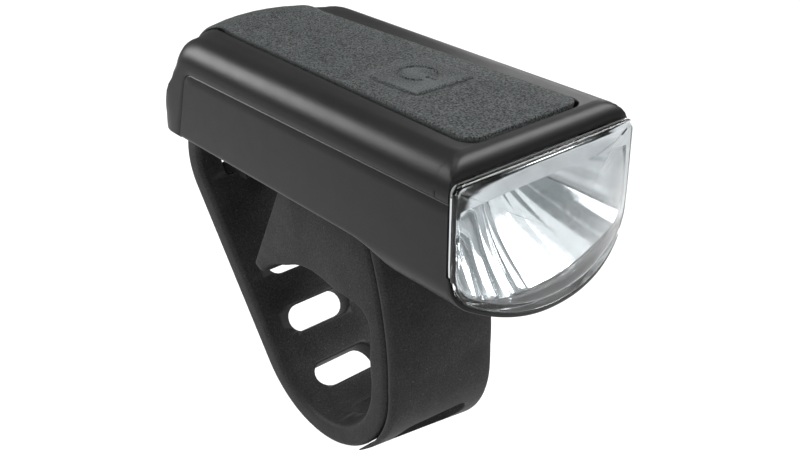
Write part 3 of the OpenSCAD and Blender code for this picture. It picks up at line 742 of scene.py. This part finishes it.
def lens_ring(outline, y):
    return np.stack([outline[:, 0], np.broadcast_to(y, len(outline)), outline[:, 1]], -1)


def lip_share(z):
    """How much of the chin's lip there is at a height on the lamp's outline."""
    return 1 - smooth_step(-2, 3, z)


def lens_outline():
    """Outline of the lens, which stands on the chin's lip."""
    outline = mouth_outline()
    return inset(outline, (LIP_T * lip_share(outline[:, 1]))[:, None])


def make_lens():
    outline = lens_outline()
    edge_r = 0.5
    wall = 1.2
    rings = []
    shares = np.linspace(0.06, 1, 14)
    rim = inset(outline, edge_r)
    for share in shares:
        spread = LENS_MIDDLE + (rim - LENS_MIDDLE) * share
        rings.append(lens_ring(spread, lens_front(*spread.T)))
    edge = lens_front(*rim.T)
    for turn in quarter(6)[1:]:
        rings.append(lens_ring(inset(outline, edge_r * (1 - sin(turn))), edge + edge_r * (1 - cos(turn))))
    rings.append(lens_ring(outline, LENS_BACK - 0.06))
    rings.append(lens_ring(inset(outline, 0.06), LENS_BACK))
    rings.append(lens_ring(inset(outline, LENS_WALL), LENS_BACK))
    inner_rim = inset(outline, LENS_WALL + 0.5)
    back = np.minimum(lens_front(*inner_rim.T) + wall, LENS_BACK - 0.005)
    round_r = np.minimum(0.5, (LENS_BACK - back) * 0.9)
    for turn in quarter(6):
        spread = inset(outline, LENS_WALL + 0.5 * (1 - cos(turn)))
        rings.append(lens_ring(spread, back + round_r * (1 - sin(turn))))
    for share in shares[::-1][1:]:
        spread = LENS_MIDDLE + (inner_rim - LENS_MIDDLE) * share
        rings.append(lens_ring(spread, np.minimum(lens_front(*spread.T) + wall, LENS_BACK - 0.005)))
    lens = add("front_lens", tube(rings), CLEAR, 30, LIGHT)
    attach(lens, "light")
    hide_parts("lens")


def make_chin_lip():
    """Lip of the bottom shell that carries the lens, with a low sill behind the lens."""
    outline = mouth_outline()
    inward = inset(outline, 1) - outline
    rings = []
    for point, normal in zip(outline, inward):
        share = float(lip_share(point[1]))
        if share < 0.03:
            continue
        thick = LIP_T * share - 0.03
        front = min(0.2, (float(lens_front(*point)) + 0.15) * share + 0.2 * (1 - share))
        sill = thick + 0.02
        if normal[1] > 0.3:
            sill = max(sill, (SILL_Z - 0.06 - point[1]) / normal[1])
        section = [(0, SEAT_Y), (0, front + 0.22), (min(0.07, thick / 4), front + 0.07)]
        section += [(min(0.22, thick / 2), front), (thick, front), (thick, 0.21)]
        section += [(sill, 0.22), (sill, SEAT_Y)]
        rings.append([(*(point + normal * d), y) for d, y in section])
    lip = add("chin_lip", tube(np.array(rings)[:, :, [0, 2, 1]]), HOUSING, 35, LIGHT)
    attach(lip, "light")


def make_gasket():
    """Ring of soft silicone behind the lens rim, rounded towards the lens."""
    outline = lens_outline()
    section = [(0.35, SEAT_Y), (0.35, 0.42), (0.5, 0.34), (1.3, 0.34), (1.45, 0.42), (1.45, SEAT_Y)]
    loops = np.array([lens_ring(inset(outline, d), y) for d, y in section])
    solid = (loops.reshape(-1, 3), grid_faces(*loops.shape[:2], closed=True, looped=True))
    ring = add("gasket_ring", solid, GASKET, 35, LIGHT)
    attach(ring, "light")
    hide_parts("lens_seal")


BOWL_Y = 13.4
BOWL_FRONT = -0.06
BOWL_T = 1.2
FLANGE = (0.08, 1.5)
FLANGE_T = 0.3
OPTIC_Z = 12.1
LED_FACE_Z = 12.2
ROOF_Z = 11.95
ROOF_T = 0.2
ROOF_GAP = 0.1
EMITTER_Y = 10.9
EMITTER_HOLE = 2.45
FLUTES = 7
FLUTE_START = 8
FLUTE_TURN = 9.5
FLUTE_PITCH = 11.6
FLUTE_DEPTH = 0.55
FAR_FLUTES = 0.12


def flute(turn):
    """Depth of the flutes at an angle in degrees from straight down; those on the far side are shallow."""
    place = (abs(turn) - FLUTE_START) / FLUTE_PITCH
    share = (place - np.floor(place)) * FLUTE_PITCH / FLUTE_TURN
    if place < 0 or place >= FLUTES or share > 1:
        return 0
    return FLUTE_DEPTH * sin(pi * share) ** 0.7 * (1 if turn < 0 else FAR_FLUTES)


def mouth_reach(outline, turn):
    """Distance from the bowl's axis to an outline at an angle in degrees from straight down."""
    angles = np.degrees(np.arctan2(outline[:, 0], OPTIC_Z - outline[:, 1]))
    order = np.argsort(angles)
    return np.interp(turn, angles[order], np.hypot(outline[:, 0], outline[:, 1] - OPTIC_Z)[order])


def bowl_point(share, reach, turn):
    """Point of the bowl at a share of the way to its edge and an angle in degrees from straight down."""
    r = share * reach
    y = BOWL_Y - (BOWL_Y - BOWL_FRONT) * share ** 2 + flute(turn) * smooth_step(0.15, 0.35, share)
    return (r * sin(radians(turn)), float(y), OPTIC_Z - r * cos(radians(turn)))


def reflector_roof(reach):
    """Flat bright roof over the bowl, a ring of faces round the emitter's opening."""
    bend = (BOWL_Y - BOWL_FRONT) / reach ** 2
    depth = BOWL_Y - EMITTER_Y
    inner, outer = [], []
    for a in full_turn(96):
        c, s = cos(a), sin(a)
        far = (-s + sqrt(s * s + 4 * bend * c * c * depth)) / max(2 * bend * c * c, 1e-6)
        if abs(c) < 0.01 and s > 0:
            far = depth
        if s < 0:
            far = min(far, (EMITTER_Y - BOWL_FRONT - FLANGE_T) / -s)
        inner.append((EMITTER_HOLE * c, EMITTER_Y + EMITTER_HOLE * s))
        outer.append(((far - ROOF_GAP) * c, EMITTER_Y + (far - ROOF_GAP) * s))
    top = ROOF_Z + ROOF_T
    loops = [(inner, ROOF_Z), (outer, ROOF_Z), (outer, top), (inner, top)]
    points = np.array([[(x, y, z) for x, y in loop] for loop, z in loops])
    return points.reshape(-1, 3), grid_faces(*points.shape[:2], closed=True, looped=True)


def make_reflector():
    """Deep bowl that fills the lens, with flutes, a bright flange, a bar above it and a roof."""
    edge, rim = [inset(lens_outline(), distance) for distance in FLANGE[::-1]]
    for outline in (edge, rim):
        outline[:, 1] = np.maximum(outline[:, 1], SILL_Z)
    shares = np.linspace(0.02, 1, 36)
    columns = []
    for turn in np.arange(-90, 90.1, 1):
        reach = mouth_reach(edge, turn)
        far = max(mouth_reach(rim, turn), reach + 0.02)
        column = [bowl_point(share, reach, turn) for share in shares]
        for r in (reach + (far - reach) * 0.5, far):
            column.append((r * sin(radians(turn)), BOWL_FRONT, OPTIC_Z - r * cos(radians(turn))))
        columns.append(column)
    columns = np.array(columns)
    rise = np.array([0, 0, LED_FACE_Z - OPTIC_Z])
    columns = np.concatenate([columns[:1] + rise, columns, columns[-1:] + rise])
    bowl = (columns.reshape(-1, 3), grid_faces(*columns.shape[:2]))
    side = columns[-1, -1, 0]
    bar_x = np.linspace(-side, side, 33)
    inner_r = SHOULDER_R - FLANGE[0]
    drop = np.sqrt(np.maximum(inner_r ** 2 - np.maximum(np.abs(bar_x) - SHOULDER_X, 0) ** 2, 0))
    bar_h = np.clip(BODY_H - SHOULDER_R + drop, LED_FACE_Z + 0.05, LENS_TOP - FLANGE[0]) - LED_FACE_Z
    bar = np.array([[(x, BOWL_FRONT, LED_FACE_Z + h * share) for x, h in zip(bar_x, bar_h)]
                    for share in np.linspace(0, 1, 5)])
    front, faces = weld(*together([bowl, (bar.reshape(-1, 3), grid_faces(*bar.shape[:2]))]))
    deep = np.where(front[:, 1] < BOWL_FRONT + 0.01, FLANGE_T, BOWL_T)
    behind = front + deep[:, None] * np.array([0, 1, 0])
    solid = together([thicken(front, behind, faces), reflector_roof(mouth_reach(edge, 90))])
    reflector = add("bowl_reflector", solid, MIRROR, 25, LIGHT)
    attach(reflector, "light")
    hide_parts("reflector")


def weld(points, faces):
    """Points merged where they coincide, with the faces all turned the same way."""
    work = bmesh.new()
    verts = [work.verts.new(p) for p in points]
    for face in faces:
        work.faces.new([verts[i] for i in face])
    bmesh.ops.remove_doubles(work, verts=work.verts, dist=1e-3)
    bmesh.ops.recalc_face_normals(work, faces=work.faces)
    work.verts.index_update()
    merged = np.array([v.co[:] for v in work.verts])
    merged_faces = [tuple(v.index for v in face.verts) for face in work.faces]
    work.free()
    return merged, merged_faces


# pad, flap and key

PAD_EDGE_R = 0.35
FLAP_END = path_at_height(FLAP_LOW[2], 0)
PLUG_HALF = 4.2
PLUG_Z = (13.7, 10.6)
PLUG_ROOT = 0.55
PLUG_BEVEL = 0.3
PLUG_DEPTHS = (1.5, 1.9, 2.1, 2.2, 2.2, 2.2, 2.1, 1.9, 1.5)


def pad_half(s):
    """Half width of the pad and its flap, with their round corners."""
    half = pad_side(s)
    half += (FLAP_HALF - half) * smooth_step(PAD_REAR - 1, PAD_REAR + 2, s)
    return half - round_off(s - PAD_FRONT, PAD_CORNER_R) - round_off(FLAP_END - s, FLAP_CORNER_R)


def make_pad():
    """Rubber pad whose rear end bends over the charging port as a flap, one moulding."""
    places = [*np.arange(8, 68, 2.5), *np.arange(68.4, 72, 0.2)]
    places += list(np.arange(72.5, FLAP_END - FLAP_CORNER_R, 0.8))
    for end, way, r in ((PAD_FRONT, 1, PAD_CORNER_R), (FLAP_END, -1, FLAP_CORNER_R)):
        places += [end + way * r * (1 - cos(a)) for a in quarter(14)]
        places += [end + way * d for d in (0.05, 0.15, 0.25, 0.35)]
    rings = []
    for s in sorted(set(round(float(place), 4) for place in places)):
        half = pad_half(s)
        ends = max(round_off(s - PAD_FRONT, PAD_EDGE_R), round_off(FLAP_END - s, PAD_EDGE_R))
        top = -PAD_PROUD + ends
        foot = RECESS - 0.1 + (0.7 - RECESS + 0.1) * smooth_step(PAD_REAR - 0.4, PAD_REAR + 0.6, s)
        round_x = [half - PAD_EDGE_R * (1 - sin(a)) for a in quarter(5)]
        round_d = [top + PAD_EDGE_R * (1 - cos(a)) for a in quarter(5)]
        x = np.array([0, half * 0.3, half * 0.6] + round_x + [half - 0.5, half - 0.65, half * 0.5, 0])
        d = np.array([top] * 3 + round_d + [foot - 0.15, foot, foot, foot])
        loop_x = np.concatenate([x, -x[-2:0:-1]])
        loop_d = np.concatenate([d, d[-2:0:-1]])
        rings.append(on_path(s, loop_x, loop_d))
    pad = add("rubber_pad", tube(rings), PAD, origin=LIGHT)
    hole = key_outline(KEY_GAP - 0.03)
    cut(pad, [stack([(hole, BODY_H - 4), (hole, BODY_H + 3)])], origin=LIGHT)
    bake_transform(pad)
    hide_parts("top_pad", "port_flap")
    make_plug()


def make_plug():
    """Plug on the inside of the flap that fills the port."""
    start, end = path_at_height(np.array(PLUG_Z), PLUG_DEPTHS[0])
    slim = PLUG_HALF - PLUG_BEVEL
    x = np.array([-PLUG_HALF, -PLUG_HALF, -slim, slim, PLUG_HALF, PLUG_HALF])
    rings = []
    for s, depth in zip(np.linspace(start, end, len(PLUG_DEPTHS)), PLUG_DEPTHS):
        wall = depth - PLUG_BEVEL
        rings.append(on_path(s, x, np.array([PLUG_ROOT, wall, depth, depth, wall, PLUG_ROOT])))
    plug = add("flap_plug", tube(rings), PAD, origin=LIGHT)
    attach(plug, "port_flap")


def key_outline(grow, steps=10):
    """Rounded outline of the key seen from above."""
    r = KEY_CORNER_R + grow
    x, y = ((KEY_HIGH - KEY_LOW) / 2)[:2] + grow - r
    points = []
    for i, (side, end) in enumerate(((1, 1), (-1, 1), (-1, -1), (1, -1))):
        points += arc(side * x, KEY_Y + end * y, r, np.linspace(i * pi / 2, (i + 1) * pi / 2, steps))
    return points


SIGN_Y = 28.1
SIGN_R = 3.1
SIGN_W = 0.62
SIGN_GAP = radians(27)
SIGN_BAR = (2.2, 4.3)
SIGN_DEPTH = 0.22
SIGN_FLARE = 0.12


def sign_cutters(top):
    """Grooves of a power sign: an open ring with its gap to the front and a short bar in the gap."""
    turns = np.linspace(-pi / 2 + SIGN_GAP, 3 * pi / 2 - SIGN_GAP, 57)
    brim, sole = SIGN_W / 2 + SIGN_FLARE, SIGN_W / 2 - SIGN_FLARE
    right = [(sole, -SIGN_DEPTH), (brim, 0.02), (brim, 1)]
    section = [(-w, h) for w, h in right[::-1]] + right
    ring = [[((SIGN_R + w) * cos(a), SIGN_Y + (SIGN_R + w) * sin(a), top + h) for w, h in section]
            for a in turns]
    bar = [[(w, SIGN_Y - r, top + h) for w, h in section] for r in SIGN_BAR]
    return [tube(ring), tube(bar)]


def make_key():
    """Key with a rounded edge and a post that reaches the switch."""
    top = KEY_HIGH[2]
    floor = PAD_HIGH[2] - KEY_T
    plunger_top = (corners("switch_plunger")[1] - LIGHT)[2]
    grow = KEY_GAP - 0.07
    post = arc(0, KEY_Y, POST_R, full_turn(len(key_outline(0))))
    levels = [(post, plunger_top), (post, floor)]
    levels += [(key_outline(grow - 0.1), floor), (key_outline(grow), floor + 0.1)]
    for a in quarter(6):
        levels.append((key_outline(grow - KEY_EDGE_R * (1 - cos(a))), top - KEY_EDGE_R * (1 - sin(a))))
    key = add("power_key", stack(levels), PAD, origin=LIGHT)
    cut(key, sign_cutters(top), origin=LIGHT)
    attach(key, "button")
    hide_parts("button_key")


# strap

def polar(points):
    """Angles and radii of points (y, z) round the handlebar, with angles from 0 to 360 degrees."""
    points = np.asarray(points, float)
    return np.degrees(np.arctan2(points[:, 1], points[:, 0])) % 360, np.hypot(points[:, 0], points[:, 1])


def at(r, angle):
    return np.array([r * cos(radians(angle)), r * sin(radians(angle))])


def curve(start, control, end, steps):
    """Points of a quadratic curve."""
    t = np.linspace(0, 1, steps)[:, None]
    return (1 - t) ** 2 * np.array(start) + 2 * t * (1 - t) * np.array(control) + t ** 2 * np.array(end)


FRONT_BOW = (-20.4, 16)
FRONT_FOOT = 176
RELIEF = 4.2
RELIEF_ANGLE = 137
RELIEF_SPREAD = 17.0
FLARE = 2.4
FLARE_SPAN = (28, 62)


def saddle_outline():
    """Outer side view of the saddle and the front of the ring: rear flank, top and bowed front."""
    rear = (SADDLE_REAR, SADDLE_TOP)
    front = (SADDLE_FRONT, SADDLE_TOP)
    points = list(np.linspace(SADDLE_TIP, rear, 60)) + list(np.linspace(rear, front, 60)[1:])
    points += list(curve(front, FRONT_BOW, at(STRAP_R, FRONT_FOOT), 60)[1:])
    points += [at(STRAP_R, a) for a in np.linspace(FRONT_FOOT, 290, 80)[1:]]
    return np.array(points)


def bore_radius(angle):
    """Inside of the relaxed silicone: a little wider than the handlebar at the front and the tip."""
    front = RELIEF * np.exp(-((angle - RELIEF_ANGLE) / RELIEF_SPREAD) ** 2)
    return BAR_R + front + FLARE * (1 - smooth_step(*FLARE_SPAN, angle))


def strap_stations():
    """Inner and outer points (y, z) of the strap, from the saddle's tip round the bar and up the run."""
    outline = saddle_outline()
    angles, reach = polar(outline)
    corners_at = polar([(SADDLE_REAR, SADDLE_TOP), (SADDLE_FRONT, SADDLE_TOP)])[0]
    places = sorted(set(np.round(np.concatenate([np.arange(29, 270, 2.0), corners_at]), 3)))
    inner = [at(bore_radius(a), a) for a in places]
    outer = [at(np.interp(a, angles, reach), a) for a in places]
    outer[0] = np.array(SADDLE_TIP)
    for a in np.linspace(270, 360 + degrees(RUN_ANGLE), 20):
        inner.append(at(BAR_R, a))
        outer.append(at(STRAP_R, a))
    for along in np.linspace(0, RUN_END, 40)[1:]:
        inner.append(BAR_R * RUN_N + along * RUN_H)
        outer.append(STRAP_R * RUN_N + along * RUN_H)
    centre = (BAR_R - CURL_R) * RUN_N + RUN_END * RUN_H
    for turn in np.linspace(0, CURL_TURN, 12)[1:]:
        way = np.array([cos(RUN_ANGLE + turn), sin(RUN_ANGLE + turn)])
        inner.append(centre + CURL_R * way)
        outer.append(centre + (CURL_R + STRAP_T) * way)
    ahead = np.array([-way[1], way[0]])
    middle = (inner[-1] + outer[-1]) / 2
    for turn in np.linspace(0, radians(80), 7)[1:]:
        reach = middle + ahead * STRAP_T / 2 * sin(turn)
        inward = (inner[-1] - outer[-1]) / np.linalg.norm(inner[-1] - outer[-1])
        inner.append(reach + inward * STRAP_T / 2 * cos(turn))
        outer.append(2 * reach - inner[-1])
    return np.array(inner), np.array(outer)


def strap_loft(inner, outer, edge_r):
    """Bar of a rounded oblong section through pairs of inner and outer points."""
    rings = []
    turns = quarter(5)
    for low, high in zip(inner, outer):
        thick = np.linalg.norm(high - low)
        way = (high - low) / thick
        r = min(edge_r, thick * 0.45)
        flat = STRAP_HALF - r
        right = [(flat + r * sin(a), r * (1 - cos(a))) for a in turns]
        right += [(flat + r * cos(a), thick - r + r * sin(a)) for a in turns]
        across = np.linspace(flat, -flat, 9)[1:-1]
        left = [(-x, h) for x, h in right[::-1]]
        loop = right + [(x, thick) for x in across] + left + [(-x, 0) for x in across]
        rings.append([(x, *(low + way * h)) for x, h in loop])
    return tube(rings)


def slot_cutter(place, rim=0.45, length=SLOT_L, height=SLOT_H, middle=SLOT_X, corner=SLOT_H / 2):
    """Slot through the strap with rounded rims; place maps (across, along, height) to a point."""
    levels = [(rim + 0.02, -3)]
    levels += [(rim * (1 - sin(a)), rim * (1 - cos(a))) for a in quarter(5)]
    levels += [(rim * (1 - cos(a)), STRAP_T - rim + rim * sin(a)) for a in quarter(5)]
    levels += [(rim + 0.02, STRAP_T + 3)]
    rings = []
    for grow, level in levels:
        shape = slot_outline(length + 2 * grow, height + 2 * grow, corner + grow)
        rings.append([place(middle + across, along, level) for across, along in shape])
    return tube(rings)


def on_ring(angle):
    """Place on the round part of the strap, at an angle in degrees."""
    def place(across, along, height):
        return (across, *at(BAR_R + height, angle + degrees(along / BAR_R)))
    return place


def on_run(start):
    """Place on the straight run of the strap, at a length along it."""
    def place(across, along, height):
        return (across, *((BAR_R + height) * RUN_N + (start + along) * RUN_H))
    return place


POCKET_R = 3.0
POCKET_FOOT = 12
POCKET_STEP = 2.0
SHANK_R = 1.6


def make_strap():
    """Saddle, ring and rear run, one silicone moulding."""
    strap = add("ladder_strap", strap_loft(*strap_stations(), STRAP_EDGE_R), SILICONE)
    slots = [slot_cutter(on_run(FIRST_SLOT + i * SLOT_PITCH)) for i in range(RUN_SLOTS)]
    hook_slot = (HOOK_SLOT_RIM, HOOK_SLOT_L, HOOK_SLOT_H, 0, HOOK_SLOT_CORNER)
    slots.append(slot_cutter(on_run(HOOK_SLOT), *hook_slot))
    for i in (1, 2):
        slots.append(slot_cutter(on_ring(degrees(RUN_ANGLE + (FIRST_SLOT - i * SLOT_PITCH) / BAR_R))))
    slots.append(saddle_screw_hole())
    cut(strap, slots)
    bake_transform(strap)
    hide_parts("bar_saddle", "strap_tail")


def saddle_screw_hole():
    """Hole through the saddle for the screw that holds it to the light."""
    low, high = corners("mount_screw")
    step = low[2] + POCKET_STEP
    levels = [(POCKET_R, POCKET_FOOT), (POCKET_R, step), (SHANK_R, step), (SHANK_R, SADDLE_TOP + 2)]
    return bore(0, (low[1] + high[1]) / 2, levels, 32)


BAND_GAP = 0.4
BAND_T = 2.0
BAND_TIP_T = 0.25
BAND_THINS = 188
BAND_END = 232
BAND_SLOT = 213
BAND_LIFT = 3.1
BAND_EDGE_R = 0.9
BAND_SLOT_L = 16
BAND_SLOT_H = 5.6
BAND_SLOT_RIM = 0.3


def lift_band(point):
    """The layer's loose lower end stands off the ring on the far side, as silicone does."""
    angle = degrees(atan2(point[2], point[1])) % 360
    if not 180 < angle < 260:
        return point
    reach = np.hypot(point[1], point[2])
    over = np.clip((reach - STRAP_R - BAND_GAP) / BAND_TIP_T, 0, 1)
    aside = (point[0] + STRAP_HALF) / (2 * STRAP_HALF)
    lift = BAND_LIFT * aside * over * smooth_step(178, BAND_END, angle)
    return np.array([point[0], *(point[1:] * (1 + lift / reach))])


def make_band():
    """Thin outer layer over the front of the strap."""
    shift = np.array([-BAND_GAP, 0])
    front = curve((SADDLE_FRONT, SADDLE_TOP), FRONT_BOW, at(STRAP_R, FRONT_FOOT), 40)
    inner = [np.array([SADDLE_FRONT - BAND_GAP, BASE_Z - 0.05])] + list(front + shift)
    outer = []
    for i, point in enumerate(inner):
        ahead = inner[min(i + 1, len(inner) - 1)] - inner[max(i - 1, 0)]
        out = np.array([ahead[1], -ahead[0]]) / np.linalg.norm(ahead)
        outer.append(point + out * BAND_T)
    outer[0] = inner[0] + np.array([-BAND_T, 0])
    for angle in np.linspace(FRONT_FOOT, BAND_END, 40)[1:]:
        thick = BAND_T + (BAND_TIP_T - BAND_T) * smooth_step(BAND_THINS, BAND_END, angle)
        inner.append(at(STRAP_R + BAND_GAP, angle))
        outer.append(at(STRAP_R + BAND_GAP + thick, angle))
    points, faces = strap_loft(inner, outer, BAND_EDGE_R)
    band = add("outer_band", (np.array([lift_band(point) for point in points]), faces), SILICONE)

    def place(across, along, height):
        return (across, *at(STRAP_R - 1 + height, BAND_SLOT + degrees(along / STRAP_R)))

    cut(band, [slot_cutter(place, BAND_SLOT_RIM, BAND_SLOT_L, BAND_SLOT_H, 0)])
    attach(band, "light")
    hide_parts("front_band")


# camera, light and stage

# the floor lies under the released strap
RELEASED_DROP = 27
FLOOR_RADII = (0.01, 300, 6000)
NEAR_FADE = (0.12, 0.34)
LAMP_AIM = (0, 0, 30)


def make_camera():
    """Camera of the photograph: place, direction and lens were fitted to the object's edges."""
    azimuth, elevation, roll = radians(-41.096), radians(28.069), radians(0.14)
    back = Vector((sin(azimuth) * cos(elevation), -cos(azimuth) * cos(elevation), sin(elevation)))
    level = Vector((cos(azimuth), sin(azimuth), 0))
    above = back.cross(level)
    right = level * cos(roll) + above * sin(roll)
    up = back.cross(right)
    data = bpy.data.cameras.new("camera")
    data.sensor_fit = "HORIZONTAL"
    data.sensor_width = 36
    data.lens = 48.19
    data.clip_start = 0.005
    camera = bpy.data.objects.new("camera", data)
    turn = Matrix((right, up, back)).transposed().to_4x4()
    camera.matrix_world = Matrix.Translation(Vector((-108.3, -134.4, 113.5)) * MM) @ turn
    bpy.context.scene.collection.objects.link(camera)
    bpy.context.scene.camera = camera


def combined(tree, kind, first, second):
    """Two signals put together by a kind of sum."""
    return node(tree, "ShaderNodeMath", {0: first, 1: second}, operation=kind).outputs[0]


def near_object(tree):
    """One on the floor round the object, falling to nothing farther off."""
    where = tree.nodes.new("ShaderNodeNewGeometry").outputs["Position"]
    away = node(tree, "ShaderNodeVectorMath", {0: where}, operation="LENGTH").outputs["Value"]
    inputs = {"Value": away, "From Min": NEAR_FADE[0], "From Max": NEAR_FADE[1], "To Min": 1, "To Max": 0}
    return node(tree, "ShaderNodeMapRange", inputs, interpolation_type="SMOOTHSTEP").outputs["Result"]


def seen_white(tree):
    """One for rays from the camera, and near the object for those from gloss and glass, else nothing."""
    path = tree.nodes.new("ShaderNodeLightPath").outputs
    mirrored = combined(tree, "MAXIMUM", path["Is Glossy Ray"], path["Is Transmission Ray"])
    mirrored = combined(tree, "MULTIPLY", mirrored, near_object(tree))
    return combined(tree, "MAXIMUM", path["Is Camera Ray"], mirrored)


def make_world(level, seen_level):
    """Soft even light from all round, with a paler studio behind the glass."""
    world = bpy.data.worlds.new("studio")
    bpy.context.scene.world = world
    world.use_nodes = True
    tree = world.node_tree
    soft = tree.nodes["Background"]
    wire(tree, soft, {"Strength": level, "Color": (1, 1, 1, 1)})
    seen = node(tree, "ShaderNodeBackground", {"Strength": seen_level, "Color": (0.94, 0.99, 1, 1)})
    through = tree.nodes.new("ShaderNodeLightPath").outputs["Is Transmission Ray"]
    both = node(tree, "ShaderNodeMixShader", {0: through, 1: soft.outputs[0], 2: seen.outputs[0]})
    wire(tree, tree.nodes["World Output"], {"Surface": both.outputs[0]})


def make_floor():
    """Pale paper that keeps the object's shadow and is white where it is seen."""
    low = min(corners("strap_tail")[0][2], corners("bar_saddle")[0][2]) - RELEASED_DROP
    rings = np.array([[(*point, low) for point in arc(0, 0, r, full_turn(64))] for r in FLOOR_RADII])
    material, tree, paper = shader("floor_paper")
    wire(tree, paper, {"Base Color": (0.45, 0.45, 0.45, 1), "Roughness": 1, "Specular IOR Level": 0})
    glow = node(tree, "ShaderNodeEmission", {"Strength": seen_white(tree), "Color": (0.55, 0.55, 0.55, 1)})
    both = node(tree, "ShaderNodeAddShader", {0: paper.outputs[0], 1: glow.outputs[0]})
    wire(tree, tree.nodes["Material Output"], {"Surface": both.outputs[0]})
    floor = add("floor", (rings.reshape(-1, 3), grid_faces(*rings.shape[:2], closed=True)), material)


def softbox(name, place, size, power):
    """Square area lamp that looks at the object, all in millimetres and watts."""
    data = bpy.data.lights.new(name, "AREA")
    data.shape = "SQUARE"
    data.size = size * MM
    data.energy = power
    lamp = bpy.data.objects.new(name, data)
    lamp.location = Vector(place) * MM
    lamp.rotation_euler = (Vector(place) - Vector(LAMP_AIM)).to_track_quat("Z", "Y").to_euler()
    bpy.context.scene.collection.objects.link(lamp)


def make_lights():
    softbox("overhead", (0, 60, 700), 500, 2.0)
    softbox("left_rear", (-300, 540, 330), 320, 3.8)
    softbox("right_rear", (576, 360, 268), 240, 0.6)
    softbox("right_top", (430, -190, 540), 360, 4.0)
    softbox("front_right", (392, -364, 480), 480, 0.75)
    softbox("front_left", (-480, -420, 220), 420, 1.8)


make_camera()
make_world(0.2, 0.45)
make_floor()
make_lights()
dress_nodes()
make_upper_housing()
make_lower_housing()
make_lens()
make_chin_lip()
make_gasket()
make_reflector()
make_pad()
make_key()
make_strap()
make_band()

scene = bpy.context.scene
scene.view_settings.view_transform = "Standard"
